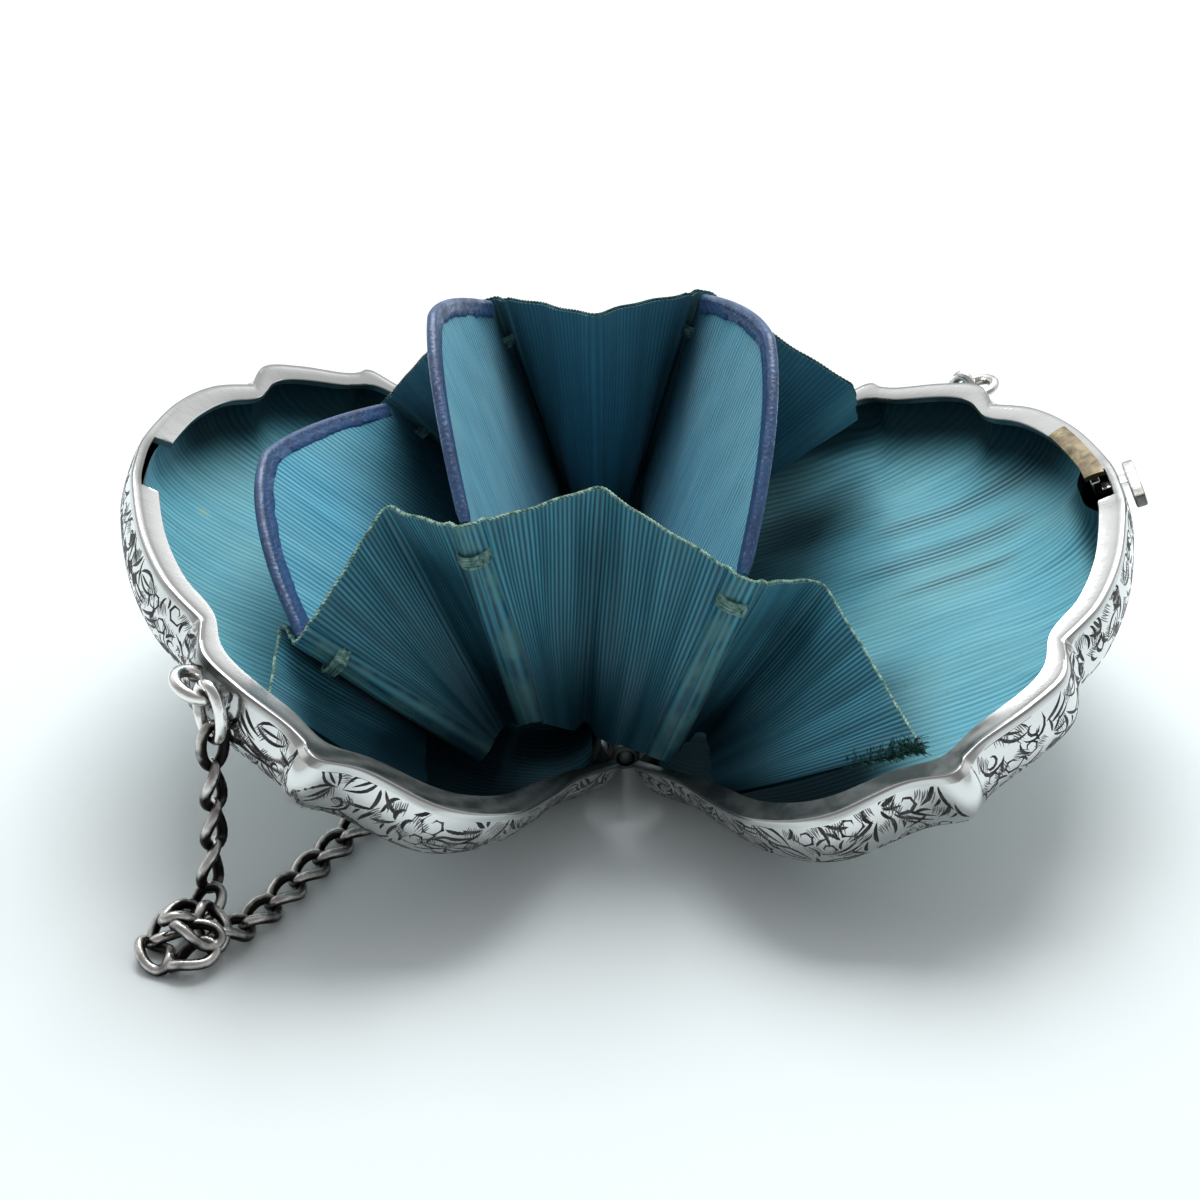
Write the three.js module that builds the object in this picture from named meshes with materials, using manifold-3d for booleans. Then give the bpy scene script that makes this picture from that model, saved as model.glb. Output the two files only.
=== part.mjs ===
// Silver clam purse lying open on its two half shells, with a silk concertina and a curb chain.
// Millimetres, +Z up, +X towards the right shell, +Y towards the back.
// Every piece is placed about the hinge axis (the Y axis) first. At the end the whole group is
// moved so that the purse rests on Z = 0 with its box centred on X = 0 and Y = 0.
import * as THREE from 'three';
import { mergeVertices } from 'three/addons/utils/BufferGeometryUtils.js';
import Module from 'manifold-3d';

const wasm = await Module();
wasm.setup();

// Driving dimensions: shells
const LEFT = { sign: -1, tilt: THREE.MathUtils.degToRad(25.8) };
const RIGHT = { sign: 1, tilt: THREE.MathUtils.degToRad(21.7) };
const SHELL_DEPTH = 8.5;
const WALL = 0.8;
const FLANGE_WIDTH = 2.6;
const FLANGE_WIDTH_AT_HINGE = 0.9;
const FLANGE_THICK = 0.7;
const FLANGE_GROWS = { from: 3, to: 9 };
const ROUNDING = 0.87;
const BELLY = { r: 22, towardsTip: 14, towardsHinge: 13, halfWidth: 23 };
const SEAT_GAP = 0.3;
const TOUCH = 0.25;

// Half of the rim seen square on: r runs from the hinge axis to the tip, t along the hinge.
// Each stretch is a smooth curve, and neighbouring stretches meet in a corner or a cusp.
const RIM_STRETCHES = [
  { steps: 2, r: [1.7, 1.7], t: [0, 18.6] },
  { steps: 2, r: [1.7, 0.6], t: [18.6, 19.6] },
  { steps: 8, r: [0.6, 4.5, 7.5, 11, 17, 24, 28.3, 29.6], t: [19.6, 24, 29, 33.5, 36.3, 35.3, 36.3, 34.6] },
  { steps: 4, r: [29.6, 31.5, 36, 39.4, 40.2], t: [34.6, 33, 30.5, 27.5, 22.6] },
  { steps: 6, r: [40.2, 44, 47, 48.9, 49.2], t: [22.6, 18.8, 12.5, 4.5, 0] },
];

// Hinge
const PIN_RADIUS = 0.55;
const KNUCKLE_RADIUS = 1.25;
const KNUCKLE_BORE = PIN_RADIUS + SEAT_GAP;
const KNUCKLES = 3;
const KNUCKLE_WEB = { inner: KNUCKLE_BORE + 0.1, outer: 2.3, top: 0.05, bottom: 0.75 };
const HINGE_LENGTH = 36.6;
const ROUND_SIDES = 10;

// Linings: silk covered panels dished into the shells
const LINING = { thick: 1, inset: 3, lowerInset: 2, edgeDrop: 1, depth: 5.9, nearestR: 1.5 };
const LINING_TIP_CLEARANCE = { extra: 3.4, halfWidth: 9, pastR: 43 };

// Concertina leaves: bottom and top corner of the front and the back side edge, about the hinge.
// The bulge is how far the leaf's middle bows along X. The tongue is its narrow lower end.
const LEAF_HALF_WIDTH = 20.2;
const LEAF_THICK = 1;
const DOME_HEIGHT = 9.4;
const DOME_POWER = { front: 1.8, back: 1.3 };
const TONGUE_HALF_WIDTH = 14.2;
const LEAF_STATIONS = 8;
const LEAVES = [
  {
    name: 'leaf_1', bulge: 0,
    front: { bottom: [-12.6, 2.2], top: [-28.2, 14.2], tongue: [-12.2, 1.9] },
    back: { bottom: [-8.5, 2.9], top: [-23.1, 16.2], tongue: [-8.1, 2.5] },
  },
  {
    name: 'leaf_2', bulge: -1.3,
    front: { bottom: [-8.6, 5.8], top: [-13.7, 25.3], tongue: [-7.9, 3.1] },
    back: { bottom: [-6.5, 7.9], top: [-12.5, 27.2], tongue: [-5.1, 3.5] },
  },
  {
    name: 'leaf_3', bulge: 1.2,
    front: { bottom: [3.1, 1.9], top: [10, 20.1], tongue: [2.9, 1.4] },
    back: { bottom: [3, 8.2], top: [8.2, 27.8], tongue: [1.9, 3.3] },
  },
];

// Leather binding folded over each leaf's domed edge
const BINDING = { wall: 0.4, gap: 0.25, width: 2.3, end: 0.92 };

// Silk floor that joins the leaves above the hinge: corners at the front and back ends
const FLOOR_THICK = 1;
const FLOOR_HALF_LENGTH = 14;
const FLOOR = [
  { front: [-11.1, 2.3], back: [-7, 2.7] },
  { front: [-3, 2.15], back: [-3, 2.15] },
  { front: [1.7, 2.2], back: [1.2, 2.15] },
];

// Pleated ribbon gussets: tops and bottoms of the inward folds and the ribbon's two ends.
// Each leaf's side edge is wrapped by the ribbon between the folds named before and after it.
const RIBBON_THICK = 1;
const WRAP_HALF_WIDTH = 1.35;
const WRAP_Y = 21;
const FOLD_RADIUS = 0.9;
const FOLD_STEPS = 2;
const FOLD_REACH = 0.45;
const FRONT_FOLDS = {
  leftEnd: { bottom: [-17, -27.5, 5], top: [-30, -26, 12.4] },
  beforeLeaf1: { bottom: [-17.9, -16.5, 4], top: [-30.4, -14, 12.9] },
  betweenLeaf1And2: { bottom: [-10.6, -17.2, 3.8], top: [-20.8, -13, 23] },
  betweenLeaf2And3: { bottom: [-3.7, -16, 1.2], top: [-2.2, -14, 25.2] },
  afterLeaf3: { bottom: [7.2, -16.8, 3.4], top: [17.5, -13, 15] },
  rightEnd: { bottom: [10, -25, 2.5], top: [24.6, -30.6, 9] },
};
const BACK_FOLDS = {
  leftEnd: { bottom: [-16, 27.5, 5], top: [-29.5, 26, 12.3] },
  beforeLeaf1: { bottom: [-15.5, 16.5, 4.2], top: [-27.4, 14, 12.4] },
  betweenLeaf1And2: { bottom: [-8.2, 17.2, 5.4], top: [-18.1, 12.6, 25.6] },
  betweenLeaf2And3: { bottom: [-2.2, 16, 4.2], top: [-2.4, 12, 29.6] },
  afterLeaf3: { bottom: [9, 16.8, 6.4], top: [22.2, 13, 21.4] },
  rightEnd: { bottom: [10, 25, 2.5], top: [24.6, 30.6, 9] },
};

// Chain eyelets and jump rings
const EYELET = { r: 39, t: 29.8, n: 1.7, outer: 4.8, wire: 1.1 };
const JUMP_RING = { length: 6.2, width: 4.2, wire: 1.05 };
const RING_SIDES = 10;
const WIRE_SIDES = 5;

// Curb chain: each link is an oval twisted a quarter turn end to end
const LINK = { pitch: 3.65, width: 3.8, wire: 0.8, bite: 0.38, sides: 10, wireSides: 5 };
const LINK_TWIST = Math.PI / 4;
const CHAIN_THINNING = 0.12;
const CHAIN_LIE = 0.95;
const STEEP = 0.6;
const CHAIN_ROUTE = [
  { x: -35.2, y: -33, z: 4.6 },
  { x: -36.2, y: -36, z: 0.8 },
  { x: -39.6, y: -37.8, z: 0 },
  { x: -39, y: -41, z: 0 },
  { x: -35.4, y: -40.8, z: 0.2 },
  { x: -35.2, y: -37.4, z: 1.9 },
  { x: -38, y: -38.4, z: 2.2 },
  { x: -35.8, y: -40, z: 1.9 },
  { x: -32.2, y: -36.4, z: 0 },
  { x: -28.4, y: -30, z: 0 },
  { x: -24.4, y: -23, z: 0 },
  { x: -18.6, y: -12, z: 0 },
  { x: -15.4, y: 0, z: 0 },
  { x: -14.4, y: 12, z: 0 },
  { x: -10.4, y: 24, z: 0 },
  { x: -1, y: 32, z: 0 },
  { x: 11, y: 35, z: 0 },
  { x: 23, y: 36, z: 0 },
  { x: 31, y: 35.2, z: 0 },
  { x: 35.2, y: 32.6, z: 3.4 },
];

// Push catch at the right shell's tip: thumb plate, stem through the wall, and spring strip
const CATCH = {
  plate: { inner: 49.9, outer: 52, from: -3.2, to: 3.8, top: 0.3, bottom: 1.7 },
  stem: { inner: 46.9, outer: 50.2, from: 1.3, to: 2.9, top: 1.1, bottom: 1.7 },
  foot: { inner: 46.6, outer: 47.5, top: 0.1 },
};
const CATCH_SLOT = { inner: 45.5, outer: 50, from: 0.9, to: 3.3, top: 0.75, bottom: 2.05 };
const CATCH_STRIP = { thick: 0.45, width: 1.9, lift: 0.32, from: 1.2, to: 12.6, edge: 1.1, steps: 6 };

// Notches cut into the flanges at both tips, where the catch holds the shells shut
const NOTCH_EDGE = { inner: 43, outer: 48.2, below: 0.8 };
const LEFT_NOTCH = [-5, 5];
const RIGHT_NOTCH = [-2.2, 3.4];

// Materials
const metal = (color, roughness) => new THREE.MeshStandardMaterial({ color, roughness, metalness: 1 });
const cloth = (color, roughness) => new THREE.MeshStandardMaterial({ color, roughness, metalness: 0 });
const SILVER = metal(0xd9dadb, 0.25);
const TARNISHED_SILVER = metal(0x7d7b78, 0.35);
const BRASS = metal(0xb9a77c, 0.35);
const LINING_SILK = cloth(0x4f93a6, 0.6);
const LEAF_SILK = cloth(0x4c8ea3, 0.6);
const RIBBON_SILK = cloth(0x1b5163, 0.65);
const NAVY_LEATHER = cloth(0x3b4470, 0.5);

// Step for slopes taken from two nearby points
const SMALL_STEP = 0.02;

const mix = THREE.MathUtils.lerp;
const vec = (x, y, z) => new THREE.Vector3(x, y, z);

// A closed body from sections of equally many points. Sections either close into a ring or are
// capped at both ends, and each section is a loop, or a strand whose end points are poles.
function skin(sections, { ring = false, loop = true } = {}) {
  const count = sections[0].length;
  const positions = sections.flat().flatMap((p) => [p.x, p.y, p.z]);
  const faces = [];
  const lastSection = ring ? sections.length : sections.length - 1;
  const lastPoint = loop ? count : count - 1;
  for (let i = 0; i < lastSection; i += 1) {
    const next = (i + 1) % sections.length;
    for (let j = 0; j < lastPoint; j += 1) {
      const across = (j + 1) % count;
      const a = i * count + j;
      const b = next * count + j;
      const c = next * count + across;
      const d = i * count + across;
      faces.push([a, b, c], [a, c, d]);
    }
  }
  if (!ring) {
    const ends = [0, sections.length - 1];
    ends.forEach((end) => {
      const cap = capFaces(sections[end]).map((f) => f.map((k) => k + end * count));
      faces.push(...(end === 0 ? cap : cap.map(([a, b, c]) => [a, c, b])));
    });
  }
  return closedGeometry(positions, faces);
}

// Triangles over a flat loop, turning the same way as the loop does
function capFaces(points) {
  const normal = vec(0, 0, 0);
  points.forEach((p, i) => {
    const q = points[(i + 1) % points.length];
    normal.x += (p.y - q.y) * (p.z + q.z);
    normal.y += (p.z - q.z) * (p.x + q.x);
    normal.z += (p.x - q.x) * (p.y + q.y);
  });
  normal.normalize();
  const along = points[1].clone().sub(points[0]);
  along.addScaledVector(normal, -along.dot(normal)).normalize();
  const up = normal.clone().cross(along);
  const flat = points.map((p) => new THREE.Vector2(p.dot(along), p.dot(up)));
  return THREE.ShapeUtils.triangulateShape(flat, []);
}

// Merges equal points, drops the empty triangles at poles and turns the faces outwards
function closedGeometry(positions, faces) {
  const loose = new THREE.BufferGeometry();
  loose.setAttribute('position', new THREE.Float32BufferAttribute(positions, 3));
  loose.setIndex(faces.flat());
  const merged = mergeVertices(loose, 1e-4);
  const index = merged.index.array;
  const kept = [];
  for (let k = 0; k < index.length; k += 3) {
    const [a, b, c] = [index[k], index[k + 1], index[k + 2]];
    if (a !== b && b !== c && c !== a) kept.push([a, b, c]);
  }
  const at = (k) => vec().fromBufferAttribute(merged.attributes.position, k);
  const volume = kept.reduce((sum, [a, b, c]) => sum + at(a).dot(at(b).cross(at(c))), 0);
  merged.setIndex(kept.flatMap(([a, b, c]) => (volume < 0 ? [a, c, b] : [a, b, c])));
  return merged;
}

// Joins and cuts
function solid(geometry) {
  const bare = geometry.clone();
  bare.deleteAttribute('normal');
  bare.deleteAttribute('uv');
  const merged = mergeVertices(bare, 1e-4);
  const vertProperties = new Float32Array(merged.attributes.position.array);
  const triVerts = new Uint32Array(merged.index.array);
  return new wasm.Manifold(new wasm.Mesh({ numProp: 3, vertProperties, triVerts }));
}

function fromSolid(body) {
  const { vertProperties, triVerts } = body.getMesh();
  const geometry = new THREE.BufferGeometry();
  geometry.setAttribute('position', new THREE.Float32BufferAttribute(vertProperties, 3));
  geometry.setIndex(Array.from(triVerts));
  return geometry;
}

const joined = (geometries) => geometries.map(solid).reduce((sum, part) => sum.add(part));

// Shell coordinates: r and t as for the rim, n down from the rim plane into the shell
function onShell(side, r, t, n) {
  const x = r * Math.cos(side.tilt) + n * Math.sin(side.tilt);
  return vec(side.sign * x, t, r * Math.sin(side.tilt) - n * Math.cos(side.tilt));
}

// The whole rim as points (x is r, y is t), from the middle of the hinge by the back to the front
function rimOutline() {
  const half = [];
  RIM_STRETCHES.forEach(({ steps, r, t }) => {
    const curve = new THREE.SplineCurve(r.map((value, i) => new THREE.Vector2(value, t[i])));
    for (let i = 0; i < steps; i += 1) half.push(curve.getPoint(i / steps));
  });
  const last = RIM_STRETCHES.at(-1);
  const tip = new THREE.Vector2(last.r.at(-1), last.t.at(-1));
  const mirrored = half.slice(1).reverse().map((p) => new THREE.Vector2(p.x, -p.y));
  return [...half, tip, ...mirrored];
}

// The point of the flat belly panel's oval outline that lies towards a rim point
function bellyPoint(rim) {
  const reach = rim.x > BELLY.r ? BELLY.towardsTip : BELLY.towardsHinge;
  const angle = Math.atan2(rim.y / BELLY.halfWidth, (rim.x - BELLY.r) / reach);
  return new THREE.Vector2(BELLY.r + reach * Math.cos(angle), BELLY.halfWidth * Math.sin(angle));
}

// A rim point moved inwards, towards the belly panel
function insetRim(rim, inset) {
  const inward = bellyPoint(rim).sub(rim).normalize();
  return rim.clone().addScaledVector(inward, inset);
}

// A point of a dished surface: turn runs from 0 at the edge to 1 at the belly panel
function dishPoint(side, rim, turn, { inset, edgeDrop, depth, rounding }) {
  const edge = insetRim(rim, inset);
  const belly = bellyPoint(rim);
  const angle = turn * Math.PI / 2;
  const out = Math.cos(angle) ** rounding;
  const down = Math.sin(angle) ** rounding;
  const r = mix(belly.x, edge.x, out);
  const t = mix(belly.y, edge.y, out);
  return onShell(side, r, t, mix(edgeDrop, depth, down));
}

function flangeWidth(rim) {
  const open = THREE.MathUtils.smoothstep(rim.x, FLANGE_GROWS.from, FLANGE_GROWS.to);
  return mix(FLANGE_WIDTH_AT_HINGE, FLANGE_WIDTH, open);
}

// Half shell: outer wall from the belly up to the rim, flat flange, and inner wall down again
function shellBody(side) {
  const outer = { inset: 0, edgeDrop: 0, depth: SHELL_DEPTH, rounding: ROUNDING };
  const inner = { inset: WALL, edgeDrop: FLANGE_THICK, depth: SHELL_DEPTH - WALL, rounding: ROUNDING };
  const sections = rimOutline().map((rim) => {
    const lip = insetRim(rim, flangeWidth(rim));
    return [
      onShell(side, BELLY.r, 0, outer.depth),
      ...[1, 0.7, 0.35, 0].map((turn) => dishPoint(side, rim, turn, outer)),
      onShell(side, lip.x, lip.y, 0),
      onShell(side, lip.x, lip.y, FLANGE_THICK),
      ...[0, 0.5, 1].map((turn) => dishPoint(side, rim, turn, inner)),
      onShell(side, BELLY.r, 0, inner.depth),
    ];
  });
  return skin(sections, { ring: true, loop: false });
}

// Silk covered panel inside a shell, pulled back from the catch at the tip
function liningBody(side, tipClearance) {
  const rims = rimOutline().filter((rim, i) => i % 2 === 0 && rim.x > LINING.nearestR);
  const sections = rims.map((rim) => {
    const nearTip = rim.x > tipClearance.pastR && Math.abs(rim.y) < tipClearance.halfWidth;
    const extra = nearTip ? tipClearance.extra : 0;
    const shape = { edgeDrop: LINING.edgeDrop, rounding: 1 };
    const top = { ...shape, inset: LINING.inset + extra, depth: LINING.depth };
    const under = { ...shape, inset: LINING.lowerInset + extra, depth: LINING.depth + LINING.thick };
    return [
      onShell(side, BELLY.r, 0, top.depth),
      ...[1, 0.5, 0].map((turn) => dishPoint(side, rim, turn, top)),
      ...[0, 0.5, 1].map((turn) => dishPoint(side, rim, turn, under)),
      onShell(side, BELLY.r, 0, under.depth),
    ];
  });
  return skin(sections, { ring: true, loop: false });
}

// Round bar or tube along Y
function turnedAlongY(from, to, radius, bore) {
  const profile = bore
    ? [[bore, from], [radius, from], [radius, to], [bore, to], [bore, from]]
    : [[0, from], [radius, from], [radius, to], [0, to]];
  return new THREE.LatheGeometry(profile.map(([x, y]) => new THREE.Vector2(x, y)), ROUND_SIDES);
}

// A block bounded by two values of r, t and n in a shell's own coordinates
function shellBlock(side, r, t, n) {
  const sections = t.map((along) => [
    onShell(side, r[0], along, n[0]),
    onShell(side, r[1], along, n[0]),
    onShell(side, r[1], along, n[1]),
    onShell(side, r[0], along, n[1]),
  ]);
  return skin(sections);
}

// Every second hinge knuckle belongs to one shell, each with a short web to the shell's rim
function knuckleBodies(side, first) {
  const { inner, outer, top, bottom } = KNUCKLE_WEB;
  const pitch = HINGE_LENGTH / KNUCKLES;
  const bodies = [];
  for (let i = first; i < KNUCKLES; i += 2) {
    const from = -HINGE_LENGTH / 2 + i * pitch + SEAT_GAP / 2;
    const to = from + pitch - SEAT_GAP;
    bodies.push(turnedAlongY(from, to, KNUCKLE_RADIUS, KNUCKLE_BORE));
    bodies.push(shellBlock(side, [inner, outer], [from, to], [top, bottom]));
  }
  return bodies;
}

// A wire bent into an oval of the given length and width, lying along two directions
function ovalRing(centre, along, across, { length, width, wire }, sides, wireSides, twist = 0) {
  const axis = along.clone().normalize();
  const side = across.clone().addScaledVector(axis, -across.dot(axis)).normalize();
  const halfLength = (length - wire) / 2 / Math.cos(Math.PI / sides);
  const halfWidth = (width - wire) / 2;
  const place = (angle) => {
    const x = Math.cos(angle);
    const turned = side.clone().applyAxisAngle(axis, twist * x);
    const sideways = halfWidth * Math.sin(angle);
    return centre.clone().addScaledVector(axis, halfLength * x).addScaledVector(turned, sideways);
  };
  const sections = [];
  for (let i = 0; i < sides; i += 1) {
    const angle = ((i + 0.5) / sides) * Math.PI * 2;
    const point = place(angle);
    const tangent = place(angle + SMALL_STEP).sub(place(angle - SMALL_STEP)).normalize();
    const outward = point.clone().sub(centre);
    outward.addScaledVector(tangent, -outward.dot(tangent)).normalize();
    const third = tangent.clone().cross(outward);
    const section = [];
    for (let j = 0; j < wireSides; j += 1) {
      const around = (j / wireSides) * Math.PI * 2;
      const spoke = outward.clone().multiplyScalar(Math.cos(around)).addScaledVector(third, Math.sin(around));
      section.push(point.clone().addScaledVector(spoke, wire / 2));
    }
    sections.push(section);
  }
  return skin(sections, { ring: true });
}

// The eyelet stands out from a shell's wall, in a plane parallel to the rim
function eyeletPlace(side, facing) {
  const centre = onShell(side, EYELET.r, facing * EYELET.t, EYELET.n);
  const outwards = onShell(side, 1, 0, 0);
  return { centre, outwards, lengthwise: vec(0, facing, 0) };
}

function eyeletBody(side, facing) {
  const { centre, outwards, lengthwise } = eyeletPlace(side, facing);
  const size = { length: EYELET.outer, width: EYELET.outer, wire: EYELET.wire };
  return ovalRing(centre, outwards, lengthwise, size, RING_SIDES, WIRE_SIDES);
}

// A jump ring hangs on the side of the eyelet that is turned to the hinge and away from the wall
function jumpRingPlace(side, facing) {
  const { centre, outwards, lengthwise } = eyeletPlace(side, facing);
  const spoke = lengthwise.clone().sub(outwards).normalize();
  const carrier = centre.clone().addScaledVector(spoke, (EYELET.outer - EYELET.wire) / 2);
  const rise = (EYELET.wire + JUMP_RING.wire) / 2 + TOUCH;
  const drop = (JUMP_RING.length - JUMP_RING.wire) / 2 - rise;
  const across = vec(spoke.x, spoke.y, 0);
  return { centre: carrier.add(vec(0, 0, -drop)), along: vec(0, 0, 1), across };
}

function jumpRingBody(side, facing) {
  const { centre, along, across } = jumpRingPlace(side, facing);
  return ovalRing(centre, along, across, JUMP_RING, RING_SIDES, WIRE_SIDES);
}

// The middle of the chain's end link, which the jump ring's lower bend passes through
function chainEnd(side, facing) {
  const { centre } = jumpRingPlace(side, facing);
  const lowest = (JUMP_RING.length - JUMP_RING.wire) / 2;
  const linkReach = (linkLength() - LINK.wire) / 2;
  const clear = (JUMP_RING.wire + LINK.wire) / 2 + TOUCH;
  return centre.clone().add(vec(0, 0, -lowest + clear - linkReach));
}

function linkLength() {
  return LINK.pitch + 2 * LINK.wire - LINK.bite;
}

// Interlocking curb links along the chain's route, joined into one body
function chainBody(floorLevel) {
  const lie = floorLevel + CHAIN_LIE;
  const route = [
    chainEnd(LEFT, -1),
    ...CHAIN_ROUTE.map(({ x, y, z }) => vec(x, y, lie + z)),
    chainEnd(RIGHT, 1),
  ];
  const curve = new THREE.CatmullRomCurve3(route, false, 'centripetal');
  curve.arcLengthDivisions = 1000;
  const links = Math.round(curve.getLength() / LINK.pitch);
  const centres = curve.getSpacedPoints(links);
  const size = { length: linkLength(), width: LINK.width, wire: LINK.wire };
  const bodies = centres.map((centre, i) => {
    const before = centres[Math.max(i - 1, 0)];
    const after = centres[Math.min(i + 1, links)];
    const atEnd = i === 0 || i === links;
    const along = atEnd ? vec(0, 0, 1) : after.clone().sub(before).normalize();
    const across = linkSide(along, i < links / 2);
    const twist = atEnd ? 0 : LINK_TWIST;
    const link = ovalRing(centre, along, across, size, LINK.sides, LINK.wireSides, twist);
    link.computeBoundingBox();
    return link.translate(0, 0, Math.max(floorLevel - link.boundingBox.min.z, 0));
  });
  return fromSolid(joined(bodies).simplify(CHAIN_THINNING));
}

// Links lie flat where the chain lies, and hang square to the jump ring's bend near its two ends
function linkSide(along, nearLeft) {
  if (Math.abs(along.z) < STEEP) return vec(0, 0, 1).cross(along);
  const ring = nearLeft ? jumpRingPlace(LEFT, -1) : jumpRingPlace(RIGHT, 1);
  return ring.across.clone().cross(ring.along);
}

// A point of a leaf: s runs from -1 at the front edge to 1 at the back, drop is down from the top
function leafPoint(leaf, s, height, drop = 0) {
  const k = (s + 1) / 2;
  const blend = (key) => new THREE.Vector2(
    mix(leaf.front[key][0], leaf.back[key][0], k),
    mix(leaf.front[key][1], leaf.back[key][1], k),
  );
  const bottom = blend('bottom');
  const top = blend('top');
  const up = top.clone().sub(bottom).normalize();
  const dome = DOME_HEIGHT * (1 - Math.abs(s) ** (s > 0 ? DOME_POWER.back : DOME_POWER.front));
  top.addScaledVector(up, dome - drop);
  const x = mix(bottom.x, top.x, height) + leaf.bulge * (1 - s * s) * height;
  return vec(x, s * LEAF_HALF_WIDTH, mix(bottom.y, top.y, height));
}

function leafNormal(leaf, s, height) {
  const alongS = leafPoint(leaf, s + SMALL_STEP, height).sub(leafPoint(leaf, s - SMALL_STEP, height));
  const alongH = leafPoint(leaf, s, height + SMALL_STEP).sub(leafPoint(leaf, s, height - SMALL_STEP));
  return alongS.cross(alongH).normalize();
}

// Stiff silk covered leaf with a narrow tongue down to the concertina's floor
function leafBody(leaf) {
  const inBinding = BINDING.wall + BINDING.gap;
  const sections = [];
  for (let i = 0; i <= LEAF_STATIONS; i += 1) {
    const s = mix(-1, 1, i / LEAF_STATIONS);
    const k = i / LEAF_STATIONS;
    const tongue = vec(
      mix(leaf.front.tongue[0], leaf.back.tongue[0], k),
      s * TONGUE_HALF_WIDTH,
      mix(leaf.front.tongue[1], leaf.back.tongue[1], k),
    );
    const rows = [
      { point: tongue, normal: leafNormal(leaf, s, 0) },
      ...[0, 1].map((height) => ({
        point: leafPoint(leaf, s, height, inBinding),
        normal: leafNormal(leaf, s, height),
      })),
    ];
    const face = (side) => rows.map(({ point, normal }) => (
      point.clone().addScaledVector(normal, side * LEAF_THICK / 2)
    ));
    sections.push([...face(1), ...face(-1).reverse()]);
  }
  return skin(sections);
}

// Leather folded over the leaf's top edge: a U section
function bindingBody(leaf) {
  const innerHalf = LEAF_THICK / 2 + BINDING.gap;
  const outerHalf = innerHalf + BINDING.wall;
  const sections = [];
  for (let i = 0; i <= LEAF_STATIONS; i += 1) {
    const s = BINDING.end * mix(-1, 1, i / LEAF_STATIONS);
    const normal = leafNormal(leaf, s, 1);
    const at = (offset, drop) => leafPoint(leaf, s, 1, drop).addScaledVector(normal, offset);
    sections.push([
      at(outerHalf, BINDING.width),
      at(outerHalf, 0),
      at(-outerHalf, 0),
      at(-outerHalf, BINDING.width),
      at(-innerHalf, BINDING.width),
      at(-innerHalf, BINDING.wall),
      at(innerHalf, BINDING.wall),
      at(innerHalf, BINDING.width),
    ]);
  }
  return skin(sections);
}

// Silk strip under the leaves that closes the pockets above the hinge
function floorBody() {
  const ends = [{ key: 'front', y: -FLOOR_HALF_LENGTH }, { key: 'back', y: FLOOR_HALF_LENGTH }];
  const sections = ends.map(({ key, y }) => {
    const line = (lift) => FLOOR.map((row) => vec(row[key][0], y, row[key][1] + lift));
    return [...line(-FLOOR_THICK / 2), ...line(FLOOR_THICK / 2).reverse()];
  });
  return skin(sections);
}

// A path with its corners rounded to arcs: equally many points for every corner
function roundedPath(corners, radius) {
  const path = [corners[0]];
  for (let i = 1; i < corners.length - 1; i += 1) {
    const corner = corners[i];
    const back = corners[i - 1].clone().sub(corner);
    const ahead = corners[i + 1].clone().sub(corner);
    const limit = FOLD_REACH * Math.min(back.length(), ahead.length());
    const half = back.angleTo(ahead) / 2;
    const leg = Math.min(radius / Math.tan(half), limit);
    back.normalize();
    ahead.normalize();
    const middle = back.clone().add(ahead).normalize();
    const bend = leg * Math.tan(half);
    const centre = corner.clone().addScaledVector(middle, leg / Math.cos(half));
    const start = back.clone().multiplyScalar(leg).add(corner).sub(centre);
    const end = ahead.clone().multiplyScalar(leg).add(corner).sub(centre);
    for (let j = 0; j <= FOLD_STEPS; j += 1) {
      const spoke = start.clone().lerp(end, j / FOLD_STEPS).setLength(bend);
      path.push(centre.clone().add(spoke));
    }
  }
  path.push(corners.at(-1));
  return path;
}

// The ribbon passes round a leaf's side edge on both of its faces
function wrapCorners(leaf, facing, level) {
  const edge = facing < 0 ? leaf.front : leaf.back;
  const height = level === 'top' ? 1 : 0;
  const normal = leafNormal(leaf, facing * (1 - SMALL_STEP), height);
  const [x, z] = edge[level];
  const away = normal.x < 0 ? normal : normal.negate();
  return [1, -1].map((side) => vec(x, facing * WRAP_Y, z).addScaledVector(away, side * WRAP_HALF_WIDTH));
}

// Pleated ribbon: folds inwards between the leaves and wraps each leaf's side edge
function gussetBody(folds, facing) {
  const line = (level) => {
    const fold = (name) => vec(...folds[name][level]);
    return roundedPath([
      fold('leftEnd'),
      fold('beforeLeaf1'),
      ...wrapCorners(LEAVES[0], facing, level),
      fold('betweenLeaf1And2'),
      ...wrapCorners(LEAVES[1], facing, level),
      fold('betweenLeaf2And3'),
      ...wrapCorners(LEAVES[2], facing, level),
      fold('afterLeaf3'),
      fold('rightEnd'),
    ], FOLD_RADIUS);
  };
  const bottoms = line('bottom');
  const tops = line('top');
  const sections = bottoms.map((bottom, i) => {
    const rise = tops[i].clone().sub(bottom);
    const offset = (path) => {
      const before = path[Math.max(i - 1, 0)];
      const after = path[Math.min(i + 1, path.length - 1)];
      return after.clone().sub(before).cross(rise).setLength(RIBBON_THICK / 2);
    };
    const low = offset(bottoms);
    const high = offset(tops);
    return [
      bottom.clone().add(low),
      tops[i].clone().add(high),
      tops[i].clone().sub(high),
      bottom.clone().sub(low),
    ];
  });
  return skin(sections);
}

// Thumb plate outside the wall, with its stem through the slot and a foot under the spring strip
function catchButtonBody() {
  const { plate, stem, foot } = CATCH;
  return fromSolid(joined([
    shellBlock(RIGHT, [plate.inner, plate.outer], [plate.from, plate.to], [plate.top, plate.bottom]),
    shellBlock(RIGHT, [stem.inner, stem.outer], [stem.from, stem.to], [stem.top, stem.bottom]),
    shellBlock(RIGHT, [foot.inner, foot.outer], [stem.from, stem.to], [foot.top, stem.bottom]),
  ]));
}

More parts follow.
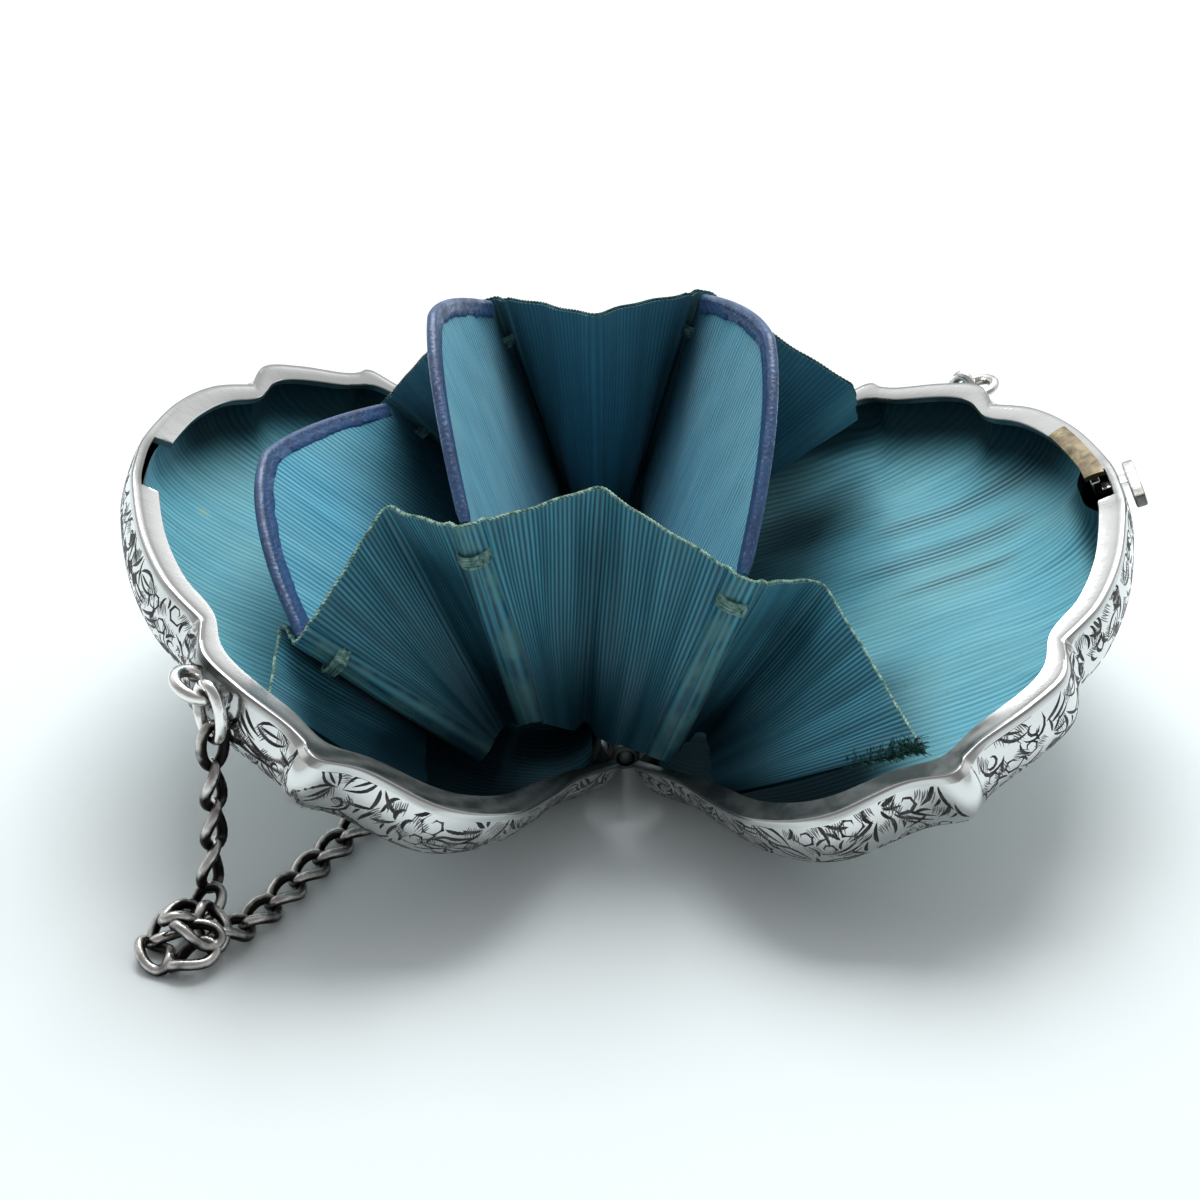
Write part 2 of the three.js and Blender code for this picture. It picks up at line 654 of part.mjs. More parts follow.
// Brass strip that lies along the flange beside the notch
function catchStripBody() {
  const rims = rimOutline().filter((rim) => rim.x > BELLY.r && rim.y >= 0 && rim.y < BELLY.halfWidth);
  const curve = new THREE.SplineCurve(rims.reverse());
  const sections = [];
  for (let i = 0; i <= CATCH_STRIP.steps; i += 1) {
    const t = mix(CATCH_STRIP.from, CATCH_STRIP.to, i / CATCH_STRIP.steps);
    const rim = rimAt(curve, t);
    const near = insetRim(rim, CATCH_STRIP.edge);
    const far = insetRim(rim, CATCH_STRIP.edge + CATCH_STRIP.width);
    const low = -CATCH_STRIP.lift;
    const high = low - CATCH_STRIP.thick;
    sections.push([
      onShell(RIGHT, near.x, near.y, low),
      onShell(RIGHT, far.x, far.y, low),
      onShell(RIGHT, far.x, far.y, high),
      onShell(RIGHT, near.x, near.y, high),
    ]);
  }
  return skin(sections);
}

// The rim point at a given t on a curve whose t grows along it
function rimAt(curve, t) {
  let low = 0;
  let high = 1;
  for (let i = 0; i < 40; i += 1) {
    const middle = (low + high) / 2;
    if (curve.getPoint(middle).y < t) low = middle;
    else high = middle;
  }
  return curve.getPoint(low);
}

function notchCut(side, along) {
  const { inner, outer, below } = NOTCH_EDGE;
  return solid(shellBlock(side, [inner, outer], along, [-below, below]));
}

function shellLeft() {
  const bodies = [shellBody(LEFT), ...knuckleBodies(LEFT, 0), eyeletBody(LEFT, -1)];
  return fromSolid(joined(bodies).subtract(notchCut(LEFT, LEFT_NOTCH)));
}

function shellRight() {
  const { inner, outer, from, to, top, bottom } = CATCH_SLOT;
  const slot = solid(shellBlock(RIGHT, [inner, outer], [from, to], [top, bottom]));
  const bodies = [shellBody(RIGHT), ...knuckleBodies(RIGHT, 1), eyeletBody(RIGHT, 1)];
  return fromSolid(joined(bodies).subtract(notchCut(RIGHT, RIGHT_NOTCH)).subtract(slot));
}

// Assembly
const purse = new THREE.Group();
function add(name, geometry, material) {
  const mesh = new THREE.Mesh(geometry, material);
  mesh.name = name;
  purse.add(mesh);
  return mesh;
}

add('shell_left', shellLeft(), SILVER);
const rightShell = add('shell_right', shellRight(), SILVER);
add('hinge_pin', turnedAlongY(-HINGE_LENGTH / 2, HINGE_LENGTH / 2, PIN_RADIUS), SILVER);
add('lining_left', liningBody(LEFT, { ...LINING_TIP_CLEARANCE, extra: 0 }), LINING_SILK);
add('lining_right', liningBody(RIGHT, LINING_TIP_CLEARANCE), LINING_SILK);
LEAVES.forEach((leaf) => {
  add(leaf.name, leafBody(leaf), LEAF_SILK);
  add(leaf.name.replace('leaf', 'binding'), bindingBody(leaf), NAVY_LEATHER);
});
add('pocket_floor', floorBody(), LEAF_SILK);
add('gusset_front', gussetBody(FRONT_FOLDS, -1), RIBBON_SILK);
add('gusset_back', gussetBody(BACK_FOLDS, 1), RIBBON_SILK);
add('chain_ring_left', jumpRingBody(LEFT, -1), SILVER);
add('chain_ring_right', jumpRingBody(RIGHT, 1), SILVER);
rightShell.geometry.computeBoundingBox();
add('chain', chainBody(rightShell.geometry.boundingBox.min.z), TARNISHED_SILVER);
add('catch_button', catchButtonBody(), SILVER);
add('catch_spring', catchStripBody(), BRASS);

// Rest the purse on Z = 0, centred
const box = new THREE.Box3().setFromObject(purse, true);
const centre = box.getCenter(vec());
purse.position.set(-centre.x, -centre.y, -box.min.z);
purse.updateMatrixWorld(true);

export default purse;
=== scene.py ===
"""Looks of an open engraved silver clam purse with a silk concertina and a curb chain.

Every new surface is worked out in millimetres about the middle of the hinge, with X from the hinge
towards the right shell's tip, Y along the hinge towards the back and Z up, and is put into the mesh
in metres at its place in the frame.
"""

import logging
import math
from dataclasses import dataclass, field
from enum import Enum
from typing import Any, Sequence

import bpy
import numpy as np
from mathutils import Matrix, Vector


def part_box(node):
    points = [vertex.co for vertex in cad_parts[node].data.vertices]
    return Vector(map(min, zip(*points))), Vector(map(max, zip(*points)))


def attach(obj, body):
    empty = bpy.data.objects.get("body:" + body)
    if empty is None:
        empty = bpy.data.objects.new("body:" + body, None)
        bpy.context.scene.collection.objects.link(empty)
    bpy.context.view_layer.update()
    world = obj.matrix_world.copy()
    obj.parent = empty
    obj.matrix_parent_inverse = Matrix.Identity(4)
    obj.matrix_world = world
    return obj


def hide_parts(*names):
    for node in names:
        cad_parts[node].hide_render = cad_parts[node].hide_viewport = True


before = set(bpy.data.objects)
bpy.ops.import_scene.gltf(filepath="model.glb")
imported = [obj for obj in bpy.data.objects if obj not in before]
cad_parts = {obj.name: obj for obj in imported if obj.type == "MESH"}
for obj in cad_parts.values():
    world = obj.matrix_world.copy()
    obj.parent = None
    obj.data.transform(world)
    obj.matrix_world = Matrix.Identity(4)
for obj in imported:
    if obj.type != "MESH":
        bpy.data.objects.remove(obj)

LOG = logging.getLogger("purse")
Array = np.ndarray
MM = 0.001
HINGE = np.add(*[np.array(corner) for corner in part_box("hinge_pin")]) / 2
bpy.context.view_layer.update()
FLOOR_LEVEL = -HINGE[2] / MM


class Slot(Enum):
    """The record's material slots."""

    SILVER = "silver"
    TARNISHED = "tarnished_silver"
    BRASS = "spring_brass"
    LINING = "lining_silk"
    LEAF = "leaf_silk"
    RIBBON = "ribbon_silk"
    LEATHER = "navy_leather"


class Body(Enum):
    """The bodies that pieces ride on."""

    PURSE = "purse"
    CATCH = "catch"


# Curves and frames


def lerp(start: Any, end: Any, share: Any) -> Any:
    """Straight blend from start to end by share."""
    return start + (end - start) * share


def smoothstep(low: float, high: float, value: Array) -> Array:
    """Blend from 0 at low to 1 at high with level ends."""
    share = np.clip((value - low) / (high - low), 0, 1)
    return share * share * (3 - 2 * share)


def unit(vectors: Array) -> Array:
    """Vectors along the last axis, scaled to length one."""
    return vectors / np.maximum(np.linalg.norm(vectors, axis=-1, keepdims=True), 1e-12)


def through(points: Sequence, count: int, knot_power: float = 0.0) -> Array:
    """A smooth curve through points.

    Each span is a cubic whose end slopes come from the neighbouring points, with knots spaced by the
    points' distance to knot_power: 0 is the uniform curve and 0.5 the centripetal one.

    Args:
        points: the points to pass through.
        count: how many samples to take, evenly by span.
        knot_power: power of the distance between knots.

    Returns:
        The samples, count by dimensions.
    """
    given = np.asarray(points, float)
    ends = (given[:1], given[-1:])
    if knot_power > 0:
        ends = (2 * given[:1] - given[1:2], 2 * given[-1:] - given[-2:-1])
    padded = np.concatenate([ends[0], given, ends[1]])
    place = np.linspace(0, len(given) - 1, count)
    index = np.minimum(place.astype(int), len(given) - 2)
    share = (place - index)[:, None]
    before, start, end, after = (padded[index + k] for k in range(4))
    gap = [np.linalg.norm(b - a, axis=1, keepdims=True) ** knot_power
           for a, b in ((before, start), (start, end), (end, after))]
    gap = [np.maximum(g, 1e-9) for g in gap]
    ahead = (end - start) / gap[1]
    leave = ((start - before) / gap[0] - (end - before) / (gap[0] + gap[1]) + ahead) * gap[1]
    arrive = (ahead - (after - start) / (gap[1] + gap[2]) + (after - end) / gap[2]) * gap[1]
    cubic = 2 * start - 2 * end + leave + arrive
    square = 3 * end - 3 * start - 2 * leave - arrive
    return ((cubic * share + square) * share + leave) * share + start


def lengths_along(path: Array) -> Array:
    """Distance travelled along a path at each of its points."""
    return np.concatenate([[0], np.cumsum(np.linalg.norm(np.diff(path, axis=0), axis=1))])


def evenly(path: Array, count: int) -> Array:
    """The path sampled again at count equally spaced places."""
    travelled = lengths_along(path)
    places = np.linspace(0, travelled[-1], count)
    return np.stack([np.interp(places, travelled, axis) for axis in path.T], axis=1)


def surface_normals(grid: Array, ring_columns: bool = False) -> Array:
    """Unit normals of a grid of points, the cross product of its column and row steps."""
    down = np.gradient(grid, axis=0)
    if ring_columns:
        along = (np.roll(grid, -1, axis=1) - np.roll(grid, 1, axis=1)) / 2
    else:
        along = np.gradient(grid, axis=1)
    return unit(np.cross(along, down))


def sample_grid(grid: Array, row: Array, column: Array) -> Array:
    """Values of a grid between its points, blended from the four around, with columns in a ring."""
    first = np.clip(np.floor(row).astype(int), 0, grid.shape[0] - 2)
    left = np.floor(column).astype(int)
    down = np.clip(row - first, 0, 1)[..., None]
    side = (column - left)[..., None]
    near, far = left % grid.shape[1], (left + 1) % grid.shape[1]
    upper = lerp(grid[first, near], grid[first, far], side)
    lower = lerp(grid[first + 1, near], grid[first + 1, far], side)
    return lerp(upper, lower, down)


# Skins and pieces


@dataclass
class Patch:
    """Closed skins that share one grid layout.

    points is skins by rows by columns by 3. Columns always join up in a ring. Rows join up in a ring
    as well, or else the first and last rows are closed by strips across them.
    """

    points: Array
    ring_rows: bool = False
    marks: dict[str, Array] = field(default_factory=dict)

    def __post_init__(self) -> None:
        """A single skin gets the leading axis too."""
        if self.points.ndim == 3:
            self.points = self.points[None]
            self.marks = {name: np.broadcast_to(value, self.points.shape[1:3])[None]
                          for name, value in self.marks.items()}

    def quads(self) -> Array:
        """Four corner numbers for every face of every skin, turned so that faces point outwards."""
        skins, rows, columns, _ = self.points.shape
        steps = rows if self.ring_rows else rows - 1
        i, j = np.meshgrid(np.arange(steps), np.arange(columns), indexing="ij")
        below, after = (i + 1) % rows, (j + 1) % columns
        corners = [i * columns + j, i * columns + after, below * columns + after, below * columns + j]
        faces = [np.stack(corners, axis=-1).reshape(-1, 4)]
        if not self.ring_rows:
            near = np.arange(columns // 2 - 1)
            strip = np.stack([near, columns - 1 - near, columns - 2 - near, near + 1], axis=1)
            faces += [strip, strip[:, ::-1] + (rows - 1) * columns]
        one = np.concatenate(faces)
        flat = self.points.reshape(skins, -1, 3)
        a, b, c, d = (flat[:, one[:, k]] for k in range(4))
        middle = flat.mean(axis=1)[:, None]
        volume = np.einsum("sfk,sfk->s", np.cross(b - a, c - a) + np.cross(c - a, d - a), a - middle)
        every = one[None] + (np.arange(skins) * rows * columns)[:, None, None]
        return np.where((volume < 0)[:, None, None], every[..., ::-1], every).reshape(-1, 4)


@dataclass
class Piece:
    """One object of the scene: its skins, its finish, what it rides on and what it stands for."""

    name: str
    patches: list[Patch]
    finish: Any
    replaces: tuple[str, ...] = ()
    body: Body = Body.PURSE
    sharp_degrees: float = 50.0

    def make(self) -> bpy.types.Object:
        """Puts the skins into one mesh in metres, gives it its finish, attaches it to its body and hides the
        parts it replaces.

        Returns:
            The finished object, at the origin.
        """
        vertices = np.concatenate([p.points.reshape(-1, 3) for p in self.patches]) * MM + HINGE
        starts = np.cumsum([0] + [p.points[..., 0].size for p in self.patches])
        quads = np.concatenate([p.quads() + s for p, s in zip(self.patches, starts)])
        mesh = bpy.data.meshes.new(self.name)
        mesh.vertices.add(len(vertices))
        mesh.vertices.foreach_set("co", vertices.astype(np.float32).ravel())
        mesh.loops.add(quads.size)
        mesh.loops.foreach_set("vertex_index", quads.astype(np.int32).ravel())
        mesh.polygons.add(len(quads))
        mesh.polygons.foreach_set("loop_start", np.arange(0, quads.size, 4, dtype=np.int32))
        for name in sorted({name for p in self.patches for name in p.marks}):
            values = [np.broadcast_to(p.marks.get(name, 0.0), p.points.shape[:3]).ravel()
                      for p in self.patches]
            layer = mesh.attributes.new(name, "FLOAT", "POINT")
            layer.data.foreach_set("value", np.concatenate(values).astype(np.float32))
        mesh.update(calc_edges=True)
        mesh.validate()
        mesh.shade_smooth()
        mesh.set_sharp_from_angle(angle=math.radians(self.sharp_degrees))
        mesh.materials.append(self.finish.material())
        thing = bpy.data.objects.new(self.name, mesh)
        bpy.context.scene.collection.objects.link(thing)
        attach(thing, self.body.value)
        if self.replaces:
            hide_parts(*self.replaces)
        LOG.info("%s: %d faces", self.name, len(quads))
        return thing


def plate(front: Array, back: Array, **marks: Array) -> Patch:
    """A thin closed sheet from its two faces, sections by rows, with marks given on the same grid."""
    loop = np.concatenate([front, back[:, ::-1]], axis=1)
    doubled = {name: np.concatenate([value, value[:, ::-1]], axis=1) for name, value in marks.items()}
    return Patch(loop, marks=doubled)


def tube(path: Array, radius: float, sides: int, beside: Array) -> Patch:
    """A round tube along a path: circles square to the path, turned so that they start at beside."""
    forward = unit(np.gradient(path, axis=0))
    first = unit(beside - np.sum(beside * forward, axis=-1, keepdims=True) * forward)
    second = np.cross(forward, first)
    turn = np.linspace(0, 2 * np.pi, sides, endpoint=False)
    spokes = first[:, None] * np.cos(turn)[:, None] + second[:, None] * np.sin(turn)[:, None]
    return Patch(path[:, None] + spokes * radius)


@dataclass(frozen=True)
class OvalWire:
    """A wire bent to an oval ring: its outer length and width and the wire's diameter."""

    length: float
    width: float
    wire: float

    def rings(self, centres: Array, along: Array, across: Array, twist: Any = 0.0,
              sides: int = 40, wire_sides: int = 12) -> Patch:
        """Rings at centres: an oval, turned about its long axis by twist from one end to the other.

        Args:
            centres: middles of the rings.
            along: directions of the long axes.
            across: directions near the short axes.
            twist: angle that each ring's ends are turned by.
            sides: samples round the oval.
            wire_sides: samples round the wire.

        Returns:
            The rings, with a worn mark that grows towards their outer side, where the wire is worn, and
            upwards as a painted highlight.
        """
        axis = unit(along)
        side = unit(across - np.sum(across * axis, axis=-1, keepdims=True) * axis)
        third = np.cross(axis, side)
        angle = np.linspace(0, 2 * np.pi, sides, endpoint=False)
        turn = np.broadcast_to(np.asarray(twist, float), centres.shape[:1])[:, None] * np.cos(angle)
        turned = side[:, None] * np.cos(turn)[..., None] + third[:, None] * np.sin(turn)[..., None]
        reach = (self.length - self.wire) / 2 * np.cos(angle)[None, :, None] * axis[:, None]
        sideways = (self.width - self.wire) / 2 * np.sin(angle)[None, :, None] * turned
        line = reach + sideways
        forward = unit(np.roll(line, -1, axis=1) - np.roll(line, 1, axis=1))
        outward = unit(line - np.sum(line * forward, axis=-1, keepdims=True) * forward)
        upright = np.cross(forward, outward)
        around = np.linspace(0, 2 * np.pi, wire_sides, endpoint=False)[:, None]
        spoke = outward[:, :, None] * np.cos(around) + upright[:, :, None] * np.sin(around)
        points = (centres[:, None] + line)[:, :, None] + spoke * self.wire / 2
        # Brighter on the outer side as wear, and on the upper side as a painted highlight
        worn = np.clip(0.5 + 0.3 * np.cos(around[:, 0]) + 0.5 * spoke[..., 2], 0, 1)
        return Patch(points, ring_rows=True, marks={"worn": worn})


# Shader tools


def colour(code: str) -> tuple[float, float, float, float]:
    """A display colour such as #4f93a6 as linear red, green, blue and alpha."""
    shown = np.array([int(code[k:k + 2], 16) for k in (1, 3, 5)]) / 255
    linear = np.where(shown <= 0.04045, shown / 12.92, ((shown + 0.055) / 1.055) ** 2.4)
    return (*linear.tolist(), 1.0)


class Nodes:
    """Adds nodes to a tree and links them, so that a material reads as a few lines."""

    def __init__(self, tree: bpy.types.NodeTree) -> None:
        """Keeps the tree to add to."""
        self.tree = tree

    def put(self, socket: bpy.types.NodeSocket, value: Any) -> None:
        """Links a socket to another one, or sets its value."""
        if isinstance(value, bpy.types.NodeSocket):
            self.tree.links.new(value, socket)
        else:
            socket.default_value = value

    def add(self, kind: str, sockets: dict[Any, Any] | None = None, **settings: Any) -> bpy.types.Node:
        """A new node of a kind with its settings and sockets filled in."""
        node = self.tree.nodes.new(kind)
        for name, value in settings.items():
            setattr(node, name, value)
        for name, value in (sockets or {}).items():
            self.put(node.inputs[name], value)
        return node

    def math(self, operation: str, first: Any, second: Any = 0.0, third: Any = 0.0) -> bpy.types.NodeSocket:
        """The result of a maths node."""
        return self.add("ShaderNodeMath", {0: first, 1: second, 2: third}, operation=operation).outputs[0]

    def mix(self, share: Any, first: Any, second: Any) -> bpy.types.NodeSocket:
        """A blend of two colours."""
        return self.add("ShaderNodeMix", {0: share, 6: first, 7: second}, data_type="RGBA").outputs[2]

    def range(self, value: Any, low: float, high: float, start: float = 0.0, end: float = 1.0
              ) -> bpy.types.NodeSocket:
        """Value taken smoothly from low..high to start..end."""
        sockets = {"Value": value, "From Min": low, "From Max": high, "To Min": start, "To Max": end}
        return self.add("ShaderNodeMapRange", sockets, interpolation_type="SMOOTHSTEP").outputs["Result"]

    def noise(self, vector: Any, scale: float, detail: float = 2.0) -> bpy.types.NodeSocket:
        """Soft noise of a scale."""
        sockets = {"Vector": vector, "Scale": scale, "Detail": detail}
        return self.add("ShaderNodeTexNoise", sockets).outputs[0]

    def stretched(self, vector: Any, scale: tuple[float, float, float]) -> bpy.types.NodeSocket:
        """The vector scaled by axis."""
        return self.add("ShaderNodeMapping", {"Vector": vector, "Scale": scale}).outputs[0]

    def place(self) -> bpy.types.NodeSocket:
        """The point's place in the object's own frame, in metres."""
        return self.add("ShaderNodeTexCoord").outputs["Object"]

    def mark(self, name: str) -> bpy.types.NodeSocket:
        """A mark that the mesh carries."""
        return self.add("ShaderNodeAttribute", attribute_name=name).outputs["Fac"]

    def group(self, tree: bpy.types.NodeTree, sockets: dict[str, Any]) -> bpy.types.Node:
        """A shared effect with its inputs filled in."""
        return self.add("ShaderNodeGroup", sockets, node_tree=tree)

    def bump(self, height: Any, distance: float, strength: float) -> bpy.types.NodeSocket:
        """A normal bent by a height in metres times distance."""
        sockets = {"Height": height, "Distance": distance, "Strength": strength}
        return self.add("ShaderNodeBump", sockets).outputs["Normal"]


def shared_effect(name: str, inputs: dict[str, str], outputs: dict[str, str]
                  ) -> tuple[bpy.types.NodeTree, Nodes, bpy.types.Node, bpy.types.Node]:
    """A new shader node group.

    Args:
        name: the group's name.
        inputs: the type of each input by name.
        outputs: the type of each output by name.

    Returns:
        The group's tree, its node tools, and its input and output nodes.
    """
    tree = bpy.data.node_groups.new(name, "ShaderNodeTree")
    for way, sockets in (("INPUT", inputs), ("OUTPUT", outputs)):
        for label, kind in sockets.items():
            tree.interface.new_socket(name=label, in_out=way, socket_type=kind)
    nodes = Nodes(tree)
    return tree, nodes, nodes.add("NodeGroupInput"), nodes.add("NodeGroupOutput")


FLOAT, VECTOR, COLOUR = "NodeSocketFloat", "NodeSocketVector", "NodeSocketColor"


def mottle_effect() -> bpy.types.NodeTree:
    """Uneven tone and small dark specks: soft noise of two sizes and a threshold of a fine one."""
    name = "mottle"
    if name in bpy.data.node_groups:
        return bpy.data.node_groups[name]
    inputs = {"Vector": VECTOR, "Patch Scale": FLOAT, "Speck Scale": FLOAT, "Speck Share": FLOAT}
    tree, nodes, given, result = shared_effect(name, inputs, {"Patches": FLOAT, "Specks": FLOAT})
    vector = given.outputs["Vector"]
    broad = nodes.noise(vector, 1.0, 4.0).node
    nodes.put(broad.inputs["Scale"], given.outputs["Patch Scale"])
    fine = nodes.noise(vector, 1.0, 1.0).node
    nodes.put(fine.inputs["Scale"], given.outputs["Speck Scale"])
    nodes.put(result.inputs["Patches"], nodes.range(broad.outputs[0], 0.3, 0.7))
    edge = nodes.math("SUBTRACT", 0.9, given.outputs["Speck Share"])
    above = nodes.math("SUBTRACT", fine.outputs[0], edge)
    nodes.put(result.inputs["Specks"], nodes.range(above, 0.0, 0.05))
    return tree


def mottled(nodes: Nodes, vector: Any, patches: float, specks: float, share: float) -> bpy.types.Node:
    """The mottle effect placed in a material, with its scales and its share of specks."""
    sockets = {"Vector": vector, "Patch Scale": patches, "Speck Scale": specks, "Speck Share": share}
    return nodes.group(mottle_effect(), sockets)


def ribs_effect() -> bpy.types.NodeTree:
    """Fine ribs spaced along Y: a sine of Y over the pitch, wavering a little, with streaks along it."""
    name = "fine_ribs"
    if name in bpy.data.node_groups:
        return bpy.data.node_groups[name]
    inputs = {"Vector": VECTOR, "Pitch": FLOAT}
    tree, nodes, given, result = shared_effect(name, inputs, {"Height": FLOAT, "Streaks": FLOAT})
    vector = given.outputs["Vector"]
    y = nodes.add("ShaderNodeSeparateXYZ", {0: vector}).outputs[1]
    waver = nodes.math("MULTIPLY", nodes.noise(vector, 260.0, 2.0), 2.2)
    turns = nodes.math("MULTIPLY", nodes.math("DIVIDE", y, given.outputs["Pitch"]), 2 * math.pi)
    wave = nodes.math("SINE", nodes.math("ADD", turns, waver))
    nodes.put(result.inputs["Height"], nodes.math("MULTIPLY_ADD", wave, 0.5, 0.5))
    streaks = nodes.noise(nodes.stretched(vector, (120.0, 2600.0, 120.0)), 1.0, 3.0)
    nodes.put(result.inputs["Streaks"], nodes.range(streaks, 0.3, 0.7))
    return tree


def new_material(name: str) -> tuple[bpy.types.Material, Nodes, bpy.types.Node]:
    """An empty node material with its Principled shader.

    Returns:
        The material, its node tools and its shader node.
    """
    material = bpy.data.materials.new(name)
    material.use_nodes = True
    return material, Nodes(material.node_tree), material.node_tree.nodes["Principled BSDF"]


@dataclass(frozen=True)
class Finish:
    """A finish: its name and the record's slot that it belongs to."""

    name: str
    slot: Slot

    def material(self) -> bpy.types.Material:
        """The finish's material, made at its first use."""
        if self.name not in bpy.data.materials:
            _, nodes, shader = new_material(self.name)
            self.fill(nodes, shader)
        return bpy.data.materials[self.name]

    def fill(self, nodes: Nodes, shader: bpy.types.Node) -> None:
        """Adds the finish's own nodes."""
        raise NotImplementedError


@dataclass(frozen=True)
class SilverFinish(Finish):
    """Polished hand-worked silver, dulled and darkened where its soil mark says so; the mark holds painted
    shade as well as dull metal.
    """

    bright: str = "#e2e4e3"
    dull: str = "#313939"
    roughness: float = 0.12

    def fill(self, nodes: Nodes, shader: bpy.types.Node) -> None:
        """Bright metal with soft hammer marks, fine scratches and soil, which is partly painted shade."""
        place = nodes.place()
        mottle = mottled(nodes, place, 380.0, 2100.0, 0.16)
        soil = nodes.mark("soil")
        uneven = nodes.math("MULTIPLY", soil, nodes.range(mottle.outputs["Patches"], 0.0, 1.0, 0.95, 1.04))
        spots = nodes.math("MULTIPLY", mottle.outputs["Specks"], nodes.range(soil, 0.12, 0.5, 0.02, 0.7))
        share = nodes.math("MAXIMUM", nodes.math("MINIMUM", uneven, 1.0), spots)
        nodes.put(shader.inputs["Base Color"], nodes.mix(share, colour(self.bright), colour(self.dull)))
        nodes.put(shader.inputs["Roughness"], nodes.range(share, 0.3, 1.0, self.roughness, 0.5))
        shader.inputs["Metallic"].default_value = 1.0
        hammer = nodes.noise(place, 480.0, 2.0)
        scratch = nodes.noise(nodes.stretched(place, (900.0, 4200.0, 2400.0)), 1.0, 2.0)
        height = nodes.math("MULTIPLY_ADD", scratch, 0.3, hammer)
        nodes.put(shader.inputs["Normal"], nodes.bump(height, 0.00009, 0.14))


@dataclass(frozen=True)
class EngravingFinish(Finish):
    """Blackened cuts, and the grey of fine hatching where the fine mark says so."""

    cut: str = "#262427"
    hatch: str = "#6f6e6e"

    def fill(self, nodes: Nodes, shader: bpy.types.Node) -> None:
        """Dark cuts of uneven depth."""
        depth = nodes.range(nodes.noise(nodes.place(), 900.0), 0.4, 0.75, 0.0, 0.4)
        share = nodes.math("MAXIMUM", nodes.mark("fine"), depth)
        nodes.put(shader.inputs["Base Color"], nodes.mix(share, colour(self.cut), colour(self.hatch)))
        nodes.put(shader.inputs["Roughness"], nodes.range(share, 0.0, 1.0, 0.5, 0.35))
        shader.inputs["Metallic"].default_value = 0.6


@dataclass(frozen=True)
class WornSilverFinish(Finish):
    """Blackened silver that is rubbed bright where its worn mark is high; on wire rings that mark also
    paints a highlight on their upper sides.
    """

    dark: str = "#211f1e"
    bright: str = "#e6e4e0"
    worn_from: float = 0.64
    roughness: float = 0.24

    def fill(self, nodes: Nodes, shader: bpy.types.Node) -> None:
        """Dark to bright metal by wear, broken up by noise."""
        place = nodes.place()
        patches = nodes.math("SUBTRACT", nodes.noise(place, 700.0, 3.0), 0.5)
        worn = nodes.math("MULTIPLY_ADD", patches, 0.7, nodes.mark("worn"))
        share = nodes.range(worn, self.worn_from, self.worn_from + 0.5)
        nodes.put(shader.inputs["Base Color"], nodes.mix(share, colour(self.dark), colour(self.bright)))
        nodes.put(shader.inputs["Roughness"], nodes.range(share, 0.0, 1.0, 0.42, self.roughness))
        shader.inputs["Metallic"].default_value = 1.0
        nodes.put(shader.inputs["Normal"], nodes.bump(nodes.noise(place, 1500.0), 0.00006, 0.5))


@dataclass(frozen=True)
class SilkFinish(Finish):
    """Fine ribbed silk with uneven fading, specks and a soft sheen, painted rib highlights and shade,
    painted shade in furrows, and dark painted shade where its deep mark is high.
    """

    ridge: str = "#72c8dc"
    valley: str = "#4298b0"
    faded: str = "#8cbfb8"
    # Colour of specks and of painted shade in the furrows, then of painted shade where the deep mark is high
    shaded: str = "#123440"
    deepest: str = "#0a171e"
    pitch: float = 0.72 * MM

    def fill(self, nodes: Nodes, shader: bpy.types.Node) -> None:
        """Ribs bend the normal and paint highlight and shade into the colour; patches fade it, specks darken
        it, and furrows and the deep mark add painted shade.
        """
        place = nodes.place()
        ribs = nodes.group(ribs_effect(), {"Vector": place, "Pitch": self.pitch})
        mottle = mottled(nodes, place, 75.0, 1900.0, 0.14)
        crest = nodes.math("MULTIPLY_ADD", ribs.outputs["Streaks"], 0.52,
                           nodes.math("MULTIPLY", ribs.outputs["Height"], 0.48))
        # Painted highlight on rib crests and painted shade in their valleys, mixed with streaks along the
        # ribs
        rib_tone_and_shade = nodes.mix(crest, colour(self.valley), colour(self.ridge))
        patchy = nodes.math("MULTIPLY", mottle.outputs["Patches"], 0.3)
        aged = nodes.mix(nodes.math("MAXIMUM", patchy, nodes.mark("soil")), rib_tone_and_shade, colour(self.faded))
        between_ribs = nodes.range(ribs.outputs["Height"], 0.2, 0.9, 0.8, 0.08)
        # Painted shade in the pressed furrows
        furrow = nodes.math("MULTIPLY", nodes.mark("press"), between_ribs)
        dark = nodes.math("MAXIMUM", furrow, nodes.math("MULTIPLY", mottle.outputs["Specks"], 0.4))
        specks_and_furrow_shade = nodes.mix(dark, aged, colour(self.shaded))
        # The deep mark is painted shade: it darkens the colour and takes away specular and sheen
        nodes.put(shader.inputs["Base Color"], nodes.mix(nodes.mark("deep"), specks_and_furrow_shade, colour(self.deepest)))
        shader.inputs["Roughness"].default_value = 0.55
        nodes.put(shader.inputs["Specular IOR Level"], nodes.range(nodes.mark("deep"), 0.0, 0.9, 0.35, 0.02))
        nodes.put(shader.inputs["Sheen Weight"], nodes.range(nodes.mark("deep"), 0.0, 0.9, 0.25, 0.0))
        shader.inputs["Sheen Roughness"].default_value = 0.4
        nodes.put(shader.inputs["Normal"], nodes.bump(ribs.outputs["Height"], 0.0001, 0.8))


